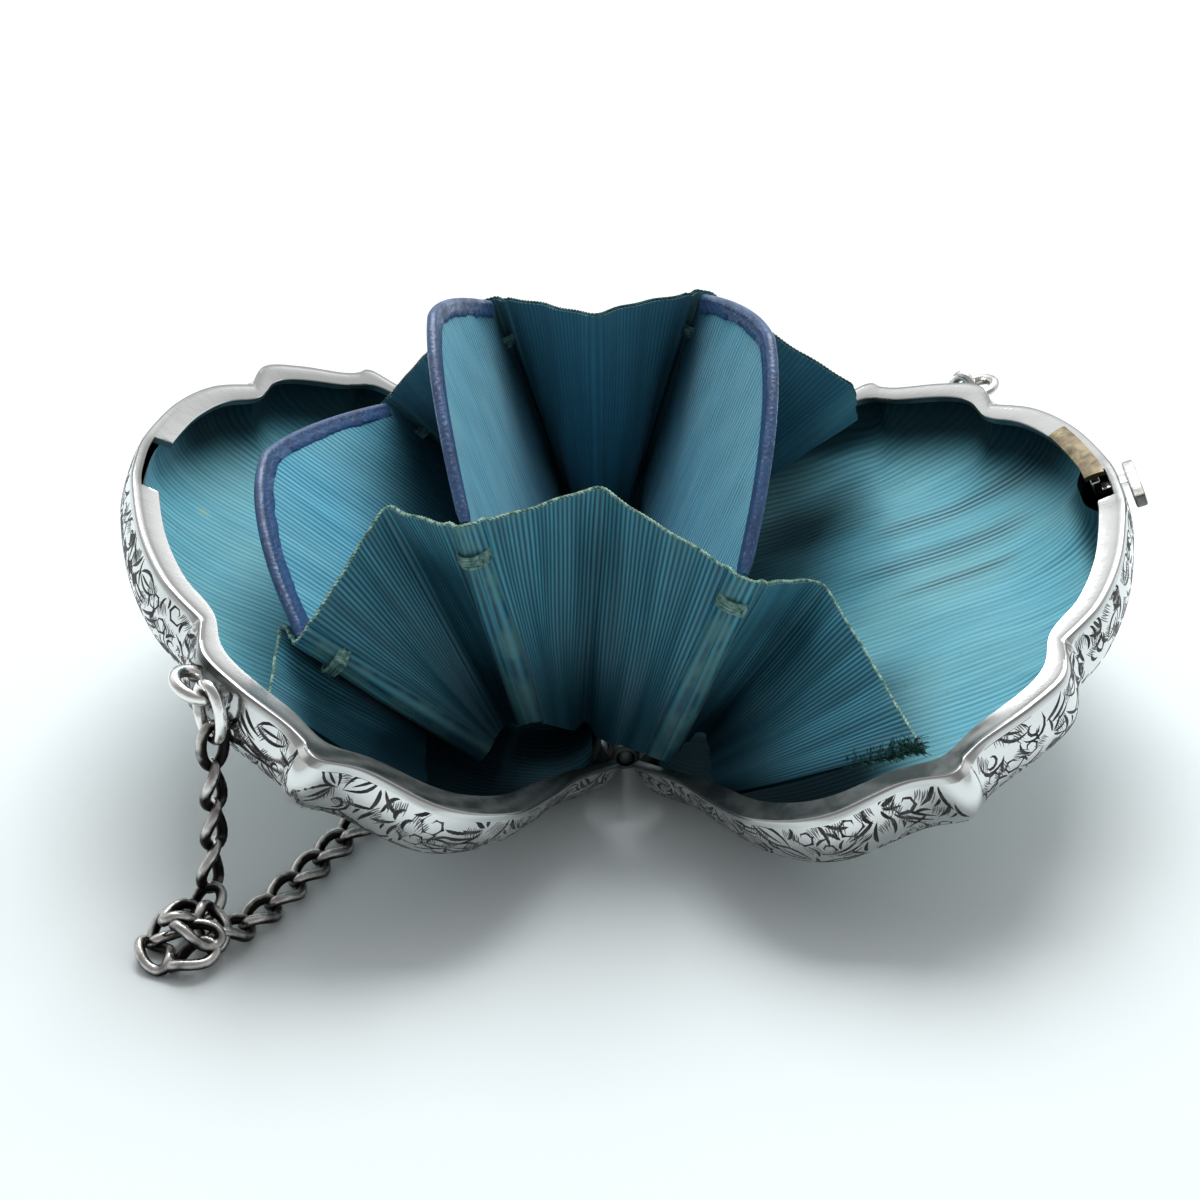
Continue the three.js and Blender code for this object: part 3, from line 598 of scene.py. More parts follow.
@dataclass(frozen=True)
class RibbonFinish(Finish):
    """Coarse ribbed ribbon: deep painted shade between ribs, painted highlight on their crests, faded where
    it is rubbed.
    """

    crest: str = "#54b0cb"
    deep: str = "#154658"
    faded: str = "#5f9794"
    shaded: str = "#0a1c25"
    dusty: str = "#2a6472"

    def fill(self, nodes: Nodes, shader: bpy.types.Node) -> None:
        """Painted rib highlights and shade and faded folds from the marks, fine thread grain from noise."""
        place = nodes.place()
        mottle = mottled(nodes, place, 330.0, 2600.0, 0.3)
        # The crest mark paints highlight on rib crests and shade between them
        rib_tone_and_shade = nodes.mix(nodes.mark("crest"), colour(self.deep), colour(self.crest))
        rubbed = nodes.math("MULTIPLY", nodes.mark("fade"),
                            nodes.range(mottle.outputs["Patches"], 0.0, 1.0, 0.0, 0.7))
        faded = nodes.mix(rubbed, rib_tone_and_shade, colour(self.faded))
        dust = nodes.math("MULTIPLY", mottle.outputs["Patches"], 0.16)
        dusty = nodes.mix(dust, faded, colour(self.dusty))
        shade = nodes.mark("shade")
        nodes.put(shader.inputs["Base Color"], nodes.mix(shade, dusty, colour(self.shaded)))
        shader.inputs["Roughness"].default_value = 0.5
        nodes.put(shader.inputs["Specular IOR Level"], nodes.range(shade, 0.0, 0.9, 0.4, 0.04))
        nodes.put(shader.inputs["Sheen Weight"], nodes.range(shade, 0.0, 0.9, 0.2, 0.0))
        shader.inputs["Sheen Roughness"].default_value = 0.35
        nodes.put(shader.inputs["Normal"], nodes.bump(nodes.noise(place, 5200.0, 1.0), 0.00004, 0.6))


@dataclass(frozen=True)
class LeatherFinish(Finish):
    """Navy leather with a fine grain, rubbed pale along its outer edge."""

    skin: str = "#3f6596"
    worn: str = "#27426b"
    scuff: str = "#a6bac6"

    def fill(self, nodes: Nodes, shader: bpy.types.Node) -> None:
        """Grain from small cells, scuffs from noise where the edge mark is high."""
        place = nodes.place()
        mottle = mottled(nodes, nodes.stretched(place, (1.0, 0.35, 0.6)), 900.0, 5200.0, 0.27)
        edge = nodes.mark("edge")
        scuffs = nodes.math("MULTIPLY", mottle.outputs["Specks"], nodes.range(edge, 0.2, 1.0, 0.05, 0.22))
        dark = nodes.math("MULTIPLY_ADD", mottle.outputs["Patches"], 0.7, nodes.math("MULTIPLY", edge, 0.3))
        tone = nodes.mix(dark, colour(self.skin), colour(self.worn))
        nodes.put(shader.inputs["Base Color"], nodes.mix(scuffs, tone, colour(self.scuff)))
        nodes.put(shader.inputs["Roughness"], nodes.range(mottle.outputs["Patches"], 0.0, 1.0, 0.34, 0.5))
        grain = nodes.add("ShaderNodeTexVoronoi", {"Vector": place, "Scale": 2600.0}).outputs["Distance"]
        nodes.put(shader.inputs["Normal"], nodes.bump(grain, 0.00006, 0.7))


@dataclass(frozen=True)
class ThreadFinish(Finish):
    """Twisted pale thread."""

    light: str = "#b5d6c0"
    dark: str = "#4f7a6e"

    def fill(self, nodes: Nodes, shader: bpy.types.Node) -> None:
        """Two tones of fibre from fine noise."""
        place = nodes.place()
        share = nodes.range(nodes.noise(place, 1800.0, 3.0), 0.35, 0.65)
        nodes.put(shader.inputs["Base Color"], nodes.mix(share, colour(self.dark), colour(self.light)))
        shader.inputs["Roughness"].default_value = 0.7
        nodes.put(shader.inputs["Normal"], nodes.bump(nodes.noise(place, 4200.0), 0.00005, 0.6))


SILVER = SilverFinish("engraved_silver", Slot.SILVER)
RING_SILVER = WornSilverFinish("ring_silver", Slot.SILVER, dark="#6d6b68", bright="#f6f5f2", worn_from=0.05,
                               roughness=0.14)
ENGRAVING = EngravingFinish("engraved_cuts", Slot.TARNISHED)
CHAIN_SILVER = WornSilverFinish("oxidised_silver", Slot.TARNISHED)
STRIP_BRASS = WornSilverFinish("strip_brass", Slot.BRASS, dark="#544c3e", bright="#a2967a", worn_from=0.4)
LINING_SILK = SilkFinish("lining_silk_ribs", Slot.LINING)
LEAF_SILK = SilkFinish("leaf_silk_ribs", Slot.LEAF, ridge="#6cc6e2", valley="#4099b8", faded="#82b9ba",
                       pitch=0.6 * MM)
RIBBON = RibbonFinish("ribbon_ribs", Slot.RIBBON)
# A copy of the ribbon with greyer, flatter ribs and lighter shade, painted light for how the back ribbon is
# lit
BACK_RIBBON = RibbonFinish("back_ribbon_ribs", Slot.RIBBON, crest="#538fa4", deep="#3a7389",
                           shaded="#13262e")
LEATHER = LeatherFinish("navy_leather_binding", Slot.LEATHER)
THREAD = ThreadFinish("selvedge_thread", Slot.RIBBON)
TIE_THREAD = ThreadFinish("tie_thread", Slot.RIBBON, light="#7fa79d", dark="#44706c")
# The same threads as at the front, painted dark as shade on the back ribbon's selvedge and ties
BACK_THREAD = ThreadFinish("back_thread", Slot.RIBBON, light="#4b7573", dark="#173238")
FRAY = ThreadFinish("frayed_silk", Slot.RIBBON, light="#2c6a5a", dark="#0f302e")


# Shells


@dataclass(frozen=True)
class Side:
    """One shell's place: which way it lies from the hinge and how far its rim's plane leans up."""

    name: str
    sign: float
    tilt: float

    def place(self, r: Any, t: Any, n: Any) -> Array:
        """The point r out from the hinge, t along it and n below the rim's plane."""
        out = r * math.cos(self.tilt) + n * math.sin(self.tilt)
        up = r * math.sin(self.tilt) - n * math.cos(self.tilt)
        return np.stack(np.broadcast_arrays(self.sign * out, t, up), axis=-1)


LEFT = Side("left", -1.0, math.radians(25.8))
RIGHT = Side("right", 1.0, math.radians(21.7))


@dataclass(frozen=True)
class Rim:
    """The scalloped outline that both shells share, and the oval of the flat back panel."""

    columns: int = 760
    belly_r: float = 22.0
    belly_to_tip: float = 14.0
    belly_to_hinge: float = 13.0
    belly_half_width: float = 23.0
    # The back half from the hinge to the tip: smooth stretches of (r, t) that meet in corners
    stretches: tuple = (
        ((1.7, 0.0), (1.7, 18.6)),
        ((1.7, 18.6), (0.6, 19.6)),
        ((0.6, 19.6), (4.5, 24.0), (7.5, 29.0), (11.0, 33.5), (17.0, 36.3), (24.0, 35.3), (28.3, 36.3),
         (29.6, 34.6)),
        ((29.6, 34.6), (31.5, 33.0), (36.0, 30.5), (39.4, 27.5), (40.2, 22.6)),
        ((40.2, 22.6), (44.0, 18.8), (47.0, 12.5), (48.9, 4.5), (49.2, 0.0)),
    )

    def outline(self) -> Array:
        """The rim as points (r, t): from the hinge's middle by the back to the tip, then by the front."""
        samples = 80
        half = np.concatenate([through(stretch, samples)[:-1] for stretch in self.stretches]
                              + [np.array(self.stretches[-1][-1:])])
        half = evenly(half, self.columns // 2 + 1)
        return np.concatenate([half, half[-2:0:-1] * (1, -1)])

    def belly(self, edge: Array) -> Array:
        """The point of the back panel's oval that lies towards each rim point."""
        reach = np.where(edge[:, 0] > self.belly_r, self.belly_to_tip, self.belly_to_hinge)
        angle = np.arctan2(edge[:, 1] / self.belly_half_width, (edge[:, 0] - self.belly_r) / reach)
        r = self.belly_r + reach * np.cos(angle)
        return np.stack([r, self.belly_half_width * np.sin(angle)], axis=1)

    def inset(self, edge: Array, by: Any) -> Array:
        """The rim moved inwards, towards the back panel."""
        inward = unit(self.belly(edge) - edge)
        return edge + inward * np.broadcast_to(np.asarray(by, float), edge.shape[:1])[:, None]

    def eased(self, edge: Array, reach: int = 7) -> Array:
        """The closed edge with its corners rounded: twice the mean of each point and its neighbours."""
        for _ in range(2):
            edge = np.mean([np.roll(edge, step, axis=0) for step in range(-reach, reach + 1)], axis=0)
        return edge

    def dish(self, edge: Array, turn: Array, edge_drop: Any, depth: float, rounding: Any) -> Array:
        """A dished surface below an edge: out and down follow a cosine and a sine of turn, to a power.

        Args:
            edge: points (r, t) that the surface starts from.
            turn: rows of the surface, 0 at the edge and 1 at the back panel.
            edge_drop: n at the edge.
            depth: n at the back panel.
            rounding: power that squares the curve off, one for all or one for each edge point.

        Returns:
            Rows by columns of (r, t, n).
        """
        angle = turn[:, None] * np.pi / 2
        out = np.abs(np.cos(angle)) ** rounding
        down = np.sin(angle) ** rounding
        flat = lerp(self.belly(edge)[None], edge[None], out[..., None])
        n = lerp(edge_drop, depth, down) + np.zeros(len(edge))
        return np.concatenate([flat, n[..., None]], axis=2)

    def panel(self, ring: Array, shares: Sequence[float]) -> Array:
        """Rings of (r, t, n) that shrink from a given ring towards the panel's middle."""
        middle = np.array([self.belly_r, 0.0, 0.0]) + ring * (0, 0, 1)
        return np.stack([lerp(middle, ring, share) for share in shares])


RIM = Rim()


@dataclass(frozen=True)
class Engraver:
    """Scroll foliage cut into a wall: motifs of tapered strokes, in millimetres along and down it."""

    seed: int
    samples: int = 8
    # How far motifs are turned, made larger or smaller and moved, and how many have hatching beside them
    turned: float = 0.9
    sizes: tuple = (0.75, 1.05)
    scatter: float = 0.3
    hatched_share: float = 0.85
    lift: float = 0.03
    edge_lift: float = -0.004
    sunk: float = 0.07

    def spiral(self, x: float, y: float, start: float, end: float, first: float, turn: float, width: float
               ) -> tuple[Array, float]:
        """A curl about (x, y): radius start to end, from angle first through turn degrees."""
        share = np.linspace(0, 1, self.samples)
        angle = np.radians(first + turn * share)
        radius = lerp(start, end, share)
        return np.stack([x + radius * np.cos(angle), y + radius * np.sin(angle)], axis=1), width

    def bow(self, x: float, y: float, to_x: float, to_y: float, bend: float, width: float
            ) -> tuple[Array, float]:
        """A stroke from (x, y) to (to_x, to_y) that bows sideways by bend."""
        share = np.linspace(0, 1, self.samples)[:, None]
        line = lerp(np.array([x, y]), np.array([to_x, to_y]), share)
        sideways = unit(np.array([y - to_y, to_x - x]))
        return line + sideways * bend * 4 * share * (1 - share), width

    def motifs(self) -> list[list[tuple[Array, float]]]:
        """The motifs' strokes about their own middles, with each stroke's greatest width."""
        curl = [self.spiral(0, 0, 1.35, 0.4, 200, -400, 0.42), self.bow(-1.7, 1.1, -1.9, -0.9, 0.45, 0.44),
                self.bow(1.2, 0.7, 2.2, -0.6, -0.25, 0.4)]
        blades = [self.bow(-1.8, -0.2, 1.6, -0.7, 0.3, 0.5), self.bow(-1.5, 0.5, 1.8, 0.1, 0.3, 0.5),
                  self.bow(-1.0, 1.1, 1.4, 0.9, 0.2, 0.36)]
        spokes = [(math.cos(a), math.sin(a)) for a in np.radians((-66, -24, 18, 60))]
        fan = [self.bow(0.35 * x, 0.35 * y, 2.3 * x, 2.3 * y, 0.2, 0.46) for x, y in spokes]
        vee = [self.bow(-1.3, 1.2, -0.1, -1.1, 0.25, 0.48), self.bow(0.3, -1.1, 1.5, 1.2, 0.25, 0.48),
               self.bow(-0.2, 0.2, 0.4, 1.2, 0.1, 0.34)]
        scroll = [self.spiral(0, 0, 1.7, 1.5, 150, -170, 0.42),
                  self.spiral(0.2, 0.3, 0.85, 0.4, 120, -260, 0.4),
                  self.bow(-2.0, -1.3, 0.3, -1.7, 0.2, 0.36)]
        petals = [self.spiral(-1.2 + 1.15 * k, 0, 1.0, 0.8, 105, 120, 0.5) for k in range(3)]
        leaf = [self.bow(-1.9, 0, 1.9, 0, 0.85, 0.42), self.bow(-1.9, 0, 1.9, 0, -0.85, 0.42),
                self.bow(-1.4, 0, 1.0, 0.05, 0.1, 0.34)]
        return [curl, blades, fan, vee, scroll, petals, leaf]

    def hatching(self) -> list[tuple[Array, float]]:
        """A patch of fine lines of uneven length that lean together."""
        heads = [(-1.0 + 0.21 * k, -0.8 + 0.09 * (k % 3)) for k in range(9)]
        feet = [(-0.5 + 0.17 * k, 0.75 - 0.13 * (k * 2 % 5)) for k in range(9)]
        return [self.bow(*head, *foot, 0.06, 0.14) for head, foot in zip(heads, feet)]

    def layout(self, length: float, bands: Sequence[float], step: float, bare: Array, bare_reach: float
               ) -> tuple[Array, Array, Array]:
        """Strokes scattered in bands along the wall.

        Args:
            length: the wall's length.
            bands: how far below the rim each band of motifs runs.
            step: distance between motifs.
            bare: places along the wall that stay bare.
            bare_reach: how near to them the bareness goes.

        Returns:
            The strokes' points (along, down), their widths, and whether they are fine hatching.
        """
        chance = np.random.default_rng(self.seed)
        motifs = self.motifs()
        hatching = self.hatching()
        lines, widths, fine = [], [], []
        for number, band in enumerate(bands):
            for along in np.arange(step * (0.25 + 0.5 * (number % 2)), length, step):
                motif = motifs[chance.integers(len(motifs))]
                flip = (chance.choice((-1, 1)), 1)
                turn = chance.uniform(-self.turned, self.turned)
                size = chance.uniform(*self.sizes)
                middle = np.array([along, band]) + chance.normal(0, self.scatter, 2)
                hatched = chance.random() < self.hatched_share
                if np.min(np.abs(bare - along)) < bare_reach:
                    continue
                spin = np.array([[math.cos(turn), math.sin(turn)], [-math.sin(turn), math.cos(turn)]])
                beside = hatching if hatched else []
                for strokes, is_fine, off in ((motif, 0.0, 0.0), (beside, 1.0, step / 2)):
                    for points, width in strokes:
                        lines.append(points * flip * size @ spin + middle + (off, 0))
                        widths.append(width * size)
                        fine.append(is_fine)
        return np.array(lines), np.array(widths), np.array(fine)

    def cut(self, wall: Array, normals: Array, strokes: tuple[Array, Array, Array], along_step: float,
            down: Array) -> Patch:
        """Strokes as thin tapered slivers set into a wall.

        Args:
            wall: the wall's points, rows down it by columns along it.
            normals: the wall's outward normals.
            strokes: points, widths and hatching marks from layout.
            along_step: distance between the wall's columns.
            down: the rows' distance below the rim.

        Returns:
            One sliver for each stroke: a four sided section that is widest near the stroke's head.
        """
        lines, widths, fine = strokes
        share = np.linspace(0, 1, self.samples)
        taper = np.sin(np.pi * share ** 0.75) ** 0.7 * 0.94 + 0.06
        forward = unit(np.gradient(lines, axis=1))
        sideways = np.stack([-forward[..., 1], forward[..., 0]], axis=-1)
        half = (widths[:, None] * taper / 2)[..., None]
        edges = [lines - sideways * half, lines, lines + sideways * half, lines]
        lifts = [self.edge_lift, self.lift, self.edge_lift, -self.sunk]
        columns = []
        for flat, lift in zip(edges, lifts):
            row = np.interp(np.clip(flat[..., 1], down[1], down[-2]), down, np.arange(len(down)))
            column = flat[..., 0] / along_step
            columns.append(sample_grid(wall, row, column) + lift * sample_grid(normals, row, column))
        points = np.stack(columns, axis=2)
        marks = {"fine": np.broadcast_to(fine[:, None, None], points.shape[:3])}
        return Patch(points, marks=marks)


@dataclass(frozen=True)
class DullnessAndShade:
    """How dull and dark each place of a shell is, from 0 where it is bright to 1; partly painted shade."""

    by_hinge: float = 0.5
    by_eyelet: float = 0.85
    bead: float = 0.2
    bead_by_notch: float = 0.4
    flange: float = 0.14
    # Painted shade for how the light falls on each flange: added to the right shell's flange and taken off
    # the left one's
    flange_by_side: float = 0.06
    flange_by_hinge: float = 0.9
    # Painted shade with dirt on the front of the flange
    flange_front: float = 0.92
    flange_by_notch: float = 0.42
    # Painted shade on the shell's inside
    inside: float = 0.85
    most: float = 0.95


@dataclass
class Shell:
    """A domed half shell: engraved wall, flat flange with a notch, hinge knuckles and a chain eyelet."""

    side: Side
    notch: tuple[float, float]
    eyelet_facing: float
    knuckles: tuple[int, ...]
    seed: int
    depth: float = 8.5
    wall: float = 0.8
    rounding_at_hinge: float = 0.87
    rounding_at_tip: float = 0.66
    squares_off: tuple = (6.0, 16.0)
    bead: float = 0.3
    flange: float = 2.6
    flange_at_hinge: float = 0.9
    flange_widens: tuple = (3.0, 9.0)
    flange_thick: float = 0.7
    # Insets between which the flange's inner edge calms down, and where along r the notch keeps its own
    flange_calms: tuple = (0.8, 2.2)
    notch_keeps: tuple = (41.5, 44.0)
    notch_from: float = 43.0
    notch_ramp: float = 0.25
    notch_edge: float = 0.95
    eyelet_r: float = 39.0
    eyelet_t: float = 29.8
    eyelet_n: float = 1.7
    eyelet_wire: OvalWire = OvalWire(4.8, 4.8, 1.1)
    hinge_length: float = 36.6
    knuckle_count: int = 3
    knuckle_gap: float = 0.3
    knuckle_radius: float = 1.25
    knuckle_bore: float = 0.85
    # Raised places of the wall: r, t, half width along the rim, height, and depth that they fade by
    bosses: tuple = (
        (29.2, 35.4, 2.1, 0.7, 6.0),
        (40.2, 23.0, 0.75, 0.55, 8.0),
        (17.0, 36.3, 4.0, 0.25, 6.0),
    )
    boss_level: float = 2.6
    # Engraving: how far below the rim its bands run, the step between motifs, and where it stays bare
    bands: tuple = (1.3, 3.3, 5.7, 8.3)
    motif_step: float = 2.4
    bare_by_boss: float = 1.6
    bare_by_hinge: float = 19.6
    dullness_and_shade: DullnessAndShade = DullnessAndShade()

    def flange_width(self, edge: Array) -> Array:
        """How far the flange reaches in at each rim point: narrow at the hinge and across the notch."""
        width = lerp(self.flange_at_hinge, self.flange, smoothstep(*self.flange_widens, edge[:, 0]))
        ramp = self.notch_ramp
        across = smoothstep(self.notch[0] - ramp, self.notch[0] + ramp, edge[:, 1])
        across = across * (1 - smoothstep(self.notch[1] - ramp, self.notch[1] + ramp, edge[:, 1]))
        return lerp(width, self.notch_edge, across * (edge[:, 0] > self.notch_from))

    def rounding(self, edge: Array) -> Array:
        """Power that squares off the wall's curve: rounder at the hinge, where the shells lean together."""
        return lerp(self.rounding_at_hinge, self.rounding_at_tip, smoothstep(*self.squares_off, edge[:, 0]))

    def outer_wall(self, edge: Array) -> Array:
        """The wall from the rim to the back panel, in millimetres, with its bosses pushed out."""
        turn = np.linspace(0.05, 1, 44) ** 1.8
        dish = RIM.dish(edge, turn, self.bead, self.depth, self.rounding(edge))
        points = self.side.place(dish[..., 0], dish[..., 1], dish[..., 2])
        normals = surface_normals(points, True) * self.side.sign
        push = np.zeros(points.shape[:2])
        for r, t, reach, height, fade in self.bosses:
            for facing in (-1, 1):
                away = np.linalg.norm(edge - (r, facing * t), axis=1)
                level = np.exp(-((dish[..., 2] - self.boss_level) / fade * 2) ** 2)
                push += height * np.exp(-(away / reach) ** 2) * level
        return points + normals * push[..., None]

    def rows_in(self, edge: Array) -> list[tuple[Array, Array]]:
        """The rim's section after the wall: bead, flange, lip and the flange's underside, as (inset, n)."""
        width = self.flange_width(edge)
        round_share = np.radians((8, 32, 58, 84))
        rows = [(self.bead * (1 - math.cos(a)), self.bead * (1 - math.sin(a))) for a in round_share]
        rows += [(0.7, 0.05), (1.0, 0.07)]
        flange = [(lerp(1.0, width, share), 0.07) for share in (0.33, 0.66)]
        lip = [(width - 0.12, 0.05), (width - 0.02, 0.16), (width, 0.4), (width - 0.05, self.flange_thick),
               (self.wall + 0.05, self.flange_thick)]
        full = [(np.minimum(inset, width - 0.13 + 0.01 * k), n)
                for k, (inset, n) in enumerate(rows + flange)]
        return full + lip

    def skin(self) -> tuple[Patch, Array]:
        """The whole shell as one closed skin.

        Returns:
            The skin and the outer wall's points.
        """
        edge = RIM.outline()
        wall = self.outer_wall(edge)
        back = RIM.dish(edge, np.array([1.0]), 0.0, self.depth, 1.0)[0]
        shares = (0.03, 0.35, 0.7)
        outer_panel = RIM.panel(back, shares)
        rim_rows = []
        calm = RIM.eased(edge)
        off_notch = 1 - smoothstep(*self.notch_keeps, edge[:, 0])
        for inset, n in self.rows_in(edge):
            share = smoothstep(*self.flange_calms, np.broadcast_to(inset, len(edge))) * off_notch
            moved = RIM.inset(lerp(edge, calm, share[:, None]), inset)
            rim_rows.append(np.concatenate([moved, np.broadcast_to(n, len(edge))[:, None]], axis=1))
        inner = RIM.dish(RIM.inset(edge, self.wall), np.linspace(0.04, 1, 12), self.flange_thick,
                         self.depth - self.wall, self.rounding(edge))
        inner_panel = RIM.panel(inner[-1], shares[::-1])
        flats = (outer_panel, np.stack(rim_rows), inner, inner_panel)
        panel, *inwards = [self.side.place(flat[..., 0], flat[..., 1], flat[..., 2]) for flat in flats]
        points = np.concatenate([panel, wall[::-1], *inwards])
        return Patch(points, marks={"soil": self.soil(points, edge, len(outer_panel) + len(wall))}), wall

    def soil(self, points: Array, edge: Array, rim_row: int) -> Array:
        """How dull and dark the silver is: by the hinge, eyelet and notch, on the front flange, and inside;
        inside it is painted shade, on the front flange painted shade with dirt.

        Args:
            points: the skin's points, rows by columns.
            edge: the rim's points (r, t), one for each column.
            rim_row: the first row after the outer wall.

        Returns:
            The soil mark for every point.
        """
        dull = self.dullness_and_shade
        near_hinge = 1 - smoothstep(3.0, 17.0, edge[:, 0])
        front = smoothstep(8.0, 24.0, -edge[:, 1]) * (1 - smoothstep(28.0, 41.0, edge[:, 0]))
        eyelet = np.linalg.norm(edge - (self.eyelet_r, self.eyelet_facing * self.eyelet_t), axis=1)
        by_eyelet = np.exp(-(eyelet / 3.6) ** 2)
        off_notch = np.abs(edge[:, 1] - np.mean(self.notch))
        by_notch = (1 - smoothstep(2.0, 6.5, off_notch)) * smoothstep(40.0, 43.0, edge[:, 0])
        row = np.arange(len(points))[:, None]
        on_flange = (row >= rim_row + 3) & (row < rim_row + 11)
        on_bead = (row >= rim_row - 1) & (row < rim_row + 3)
        inside = row >= rim_row + 9
        soil = np.maximum(dull.by_hinge * near_hinge, dull.by_eyelet * by_eyelet * ~on_flange)
        soil = np.maximum(soil + dull.bead * on_bead, dull.bead_by_notch * by_notch * on_bead)
        # The front flange is painted darker, shade with dirt, in streaks along it
        streaks = 0.92 + 0.08 * np.sin(edge[:, 0] * 0.9 + row * 1.7)
        smeared_and_shaded = np.maximum(dull.flange_front * front, dull.flange_by_notch * by_notch) * streaks
        flange = np.maximum(dull.flange_by_hinge * near_hinge, smeared_and_shaded)
        # The right flange's extra darkness is painted shade, the left one's lightness painted light
        flange = flange + dull.flange + dull.flange_by_side * self.side.sign
        soil = np.where(on_flange, flange, soil)
        # Inside the shell the darkness is painted shade
        return np.clip(np.where(inside, dull.inside, soil), 0, dull.most)

    def eyelet(self) -> Patch:
        """The wire eyelet that stands out from the wall beside the rim."""
        centre = self.side.place(self.eyelet_r, self.eyelet_facing * self.eyelet_t, self.eyelet_n)
        along = self.side.place(1.0, 0.0, 0.0)
        across = np.array([0.0, self.eyelet_facing, 0.0])
        return self.eyelet_wire.rings(centre[None], along[None], across[None])

    def knuckle(self, number: int) -> Patch:
        """One hinge knuckle: a rounded rectangle of radius and Y turned about the hinge."""
        pitch = self.hinge_length / self.knuckle_count
        start = -self.hinge_length / 2 + number * pitch + self.knuckle_gap / 2
        end = start + pitch - self.knuckle_gap
        soft = 0.15
        outer, bore = self.knuckle_radius, self.knuckle_bore
        radius = np.array([bore, outer - soft, outer, outer, outer - soft, bore])
        y = np.array([start, start, start + soft, end - soft, end, end])
        turn = np.linspace(0, 2 * np.pi, 36, endpoint=False)[:, None]
        points = np.stack(np.broadcast_arrays(radius * np.cos(turn), y, radius * np.sin(turn)), axis=-1)
        return Patch(points, ring_rows=True, marks={"soil": np.ones(points.shape[:2])})

    def engraving(self, wall: Array) -> Patch:
        """The cuts on the outer wall, bare on the largest bosses and by the hinge."""
        edge = RIM.outline()
        along = lengths_along(np.concatenate([edge, edge[:1]]))
        down = np.mean(np.cumsum(np.linalg.norm(np.diff(wall, axis=0), axis=2), axis=0), axis=1)
        down = np.concatenate([[0], down]) + self.bead
        r, t = self.bosses[0][:2]
        bare_at = [np.argmin(np.linalg.norm(edge - (r, facing * t), axis=1)) for facing in (-1, 1)]
        engraver = Engraver(self.seed)
        strokes = engraver.layout(along[-1], self.bands, self.motif_step, along[bare_at], self.bare_by_boss)
        middle = strokes[0].mean(axis=1)[:, 0]
        kept = (middle > self.bare_by_hinge) & (middle < along[-1] - self.bare_by_hinge)
        strokes = tuple(values[kept] for values in strokes)
        normals = surface_normals(wall, True) * self.side.sign
        return engraver.cut(wall, normals, strokes, along[-1] / RIM.columns, down)

    def build(self) -> None:
        """Makes the shell, its eyelet and the engraving on its wall."""
        skin, wall = self.skin()
        name = self.side.name
        Piece(f"{name}_shell", [skin] + [self.knuckle(k) for k in self.knuckles], SILVER,
              (f"shell_{name}",), sharp_degrees=35).make()
        Piece(f"{name}_eyelet", [self.eyelet()], RING_SILVER).make()
        Piece(f"{name}_engraving", [self.engraving(wall)], ENGRAVING).make()


@dataclass
class HingePin:
    """The pin through the knuckles, with domed ends."""

    radius: float = 0.83
    length: float = 36.4

    def build(self) -> None:
        """Makes the pin: a half circle profile at each end of a straight bar."""
        angle = np.linspace(0.06, np.pi / 2, 6)
        end = self.length / 2 - self.radius / 2
        dome = np.cos(angle) * self.radius / 2
        radius = (np.concatenate([np.sin(angle), np.sin(angle[::-1])]) * self.radius)[:, None]
        y = np.concatenate([-end - dome, end + dome[::-1]])[:, None]
        turn = np.linspace(0, 2 * np.pi, 24, endpoint=False)
        points = np.stack(np.broadcast_arrays(radius * np.cos(turn), y, radius * np.sin(turn)), axis=-1)
        soil = np.ones(points.shape[:2])
        Piece("hinge_rod", [Patch(points, marks={"soil": soil})], SILVER, ("hinge_pin",)).make()


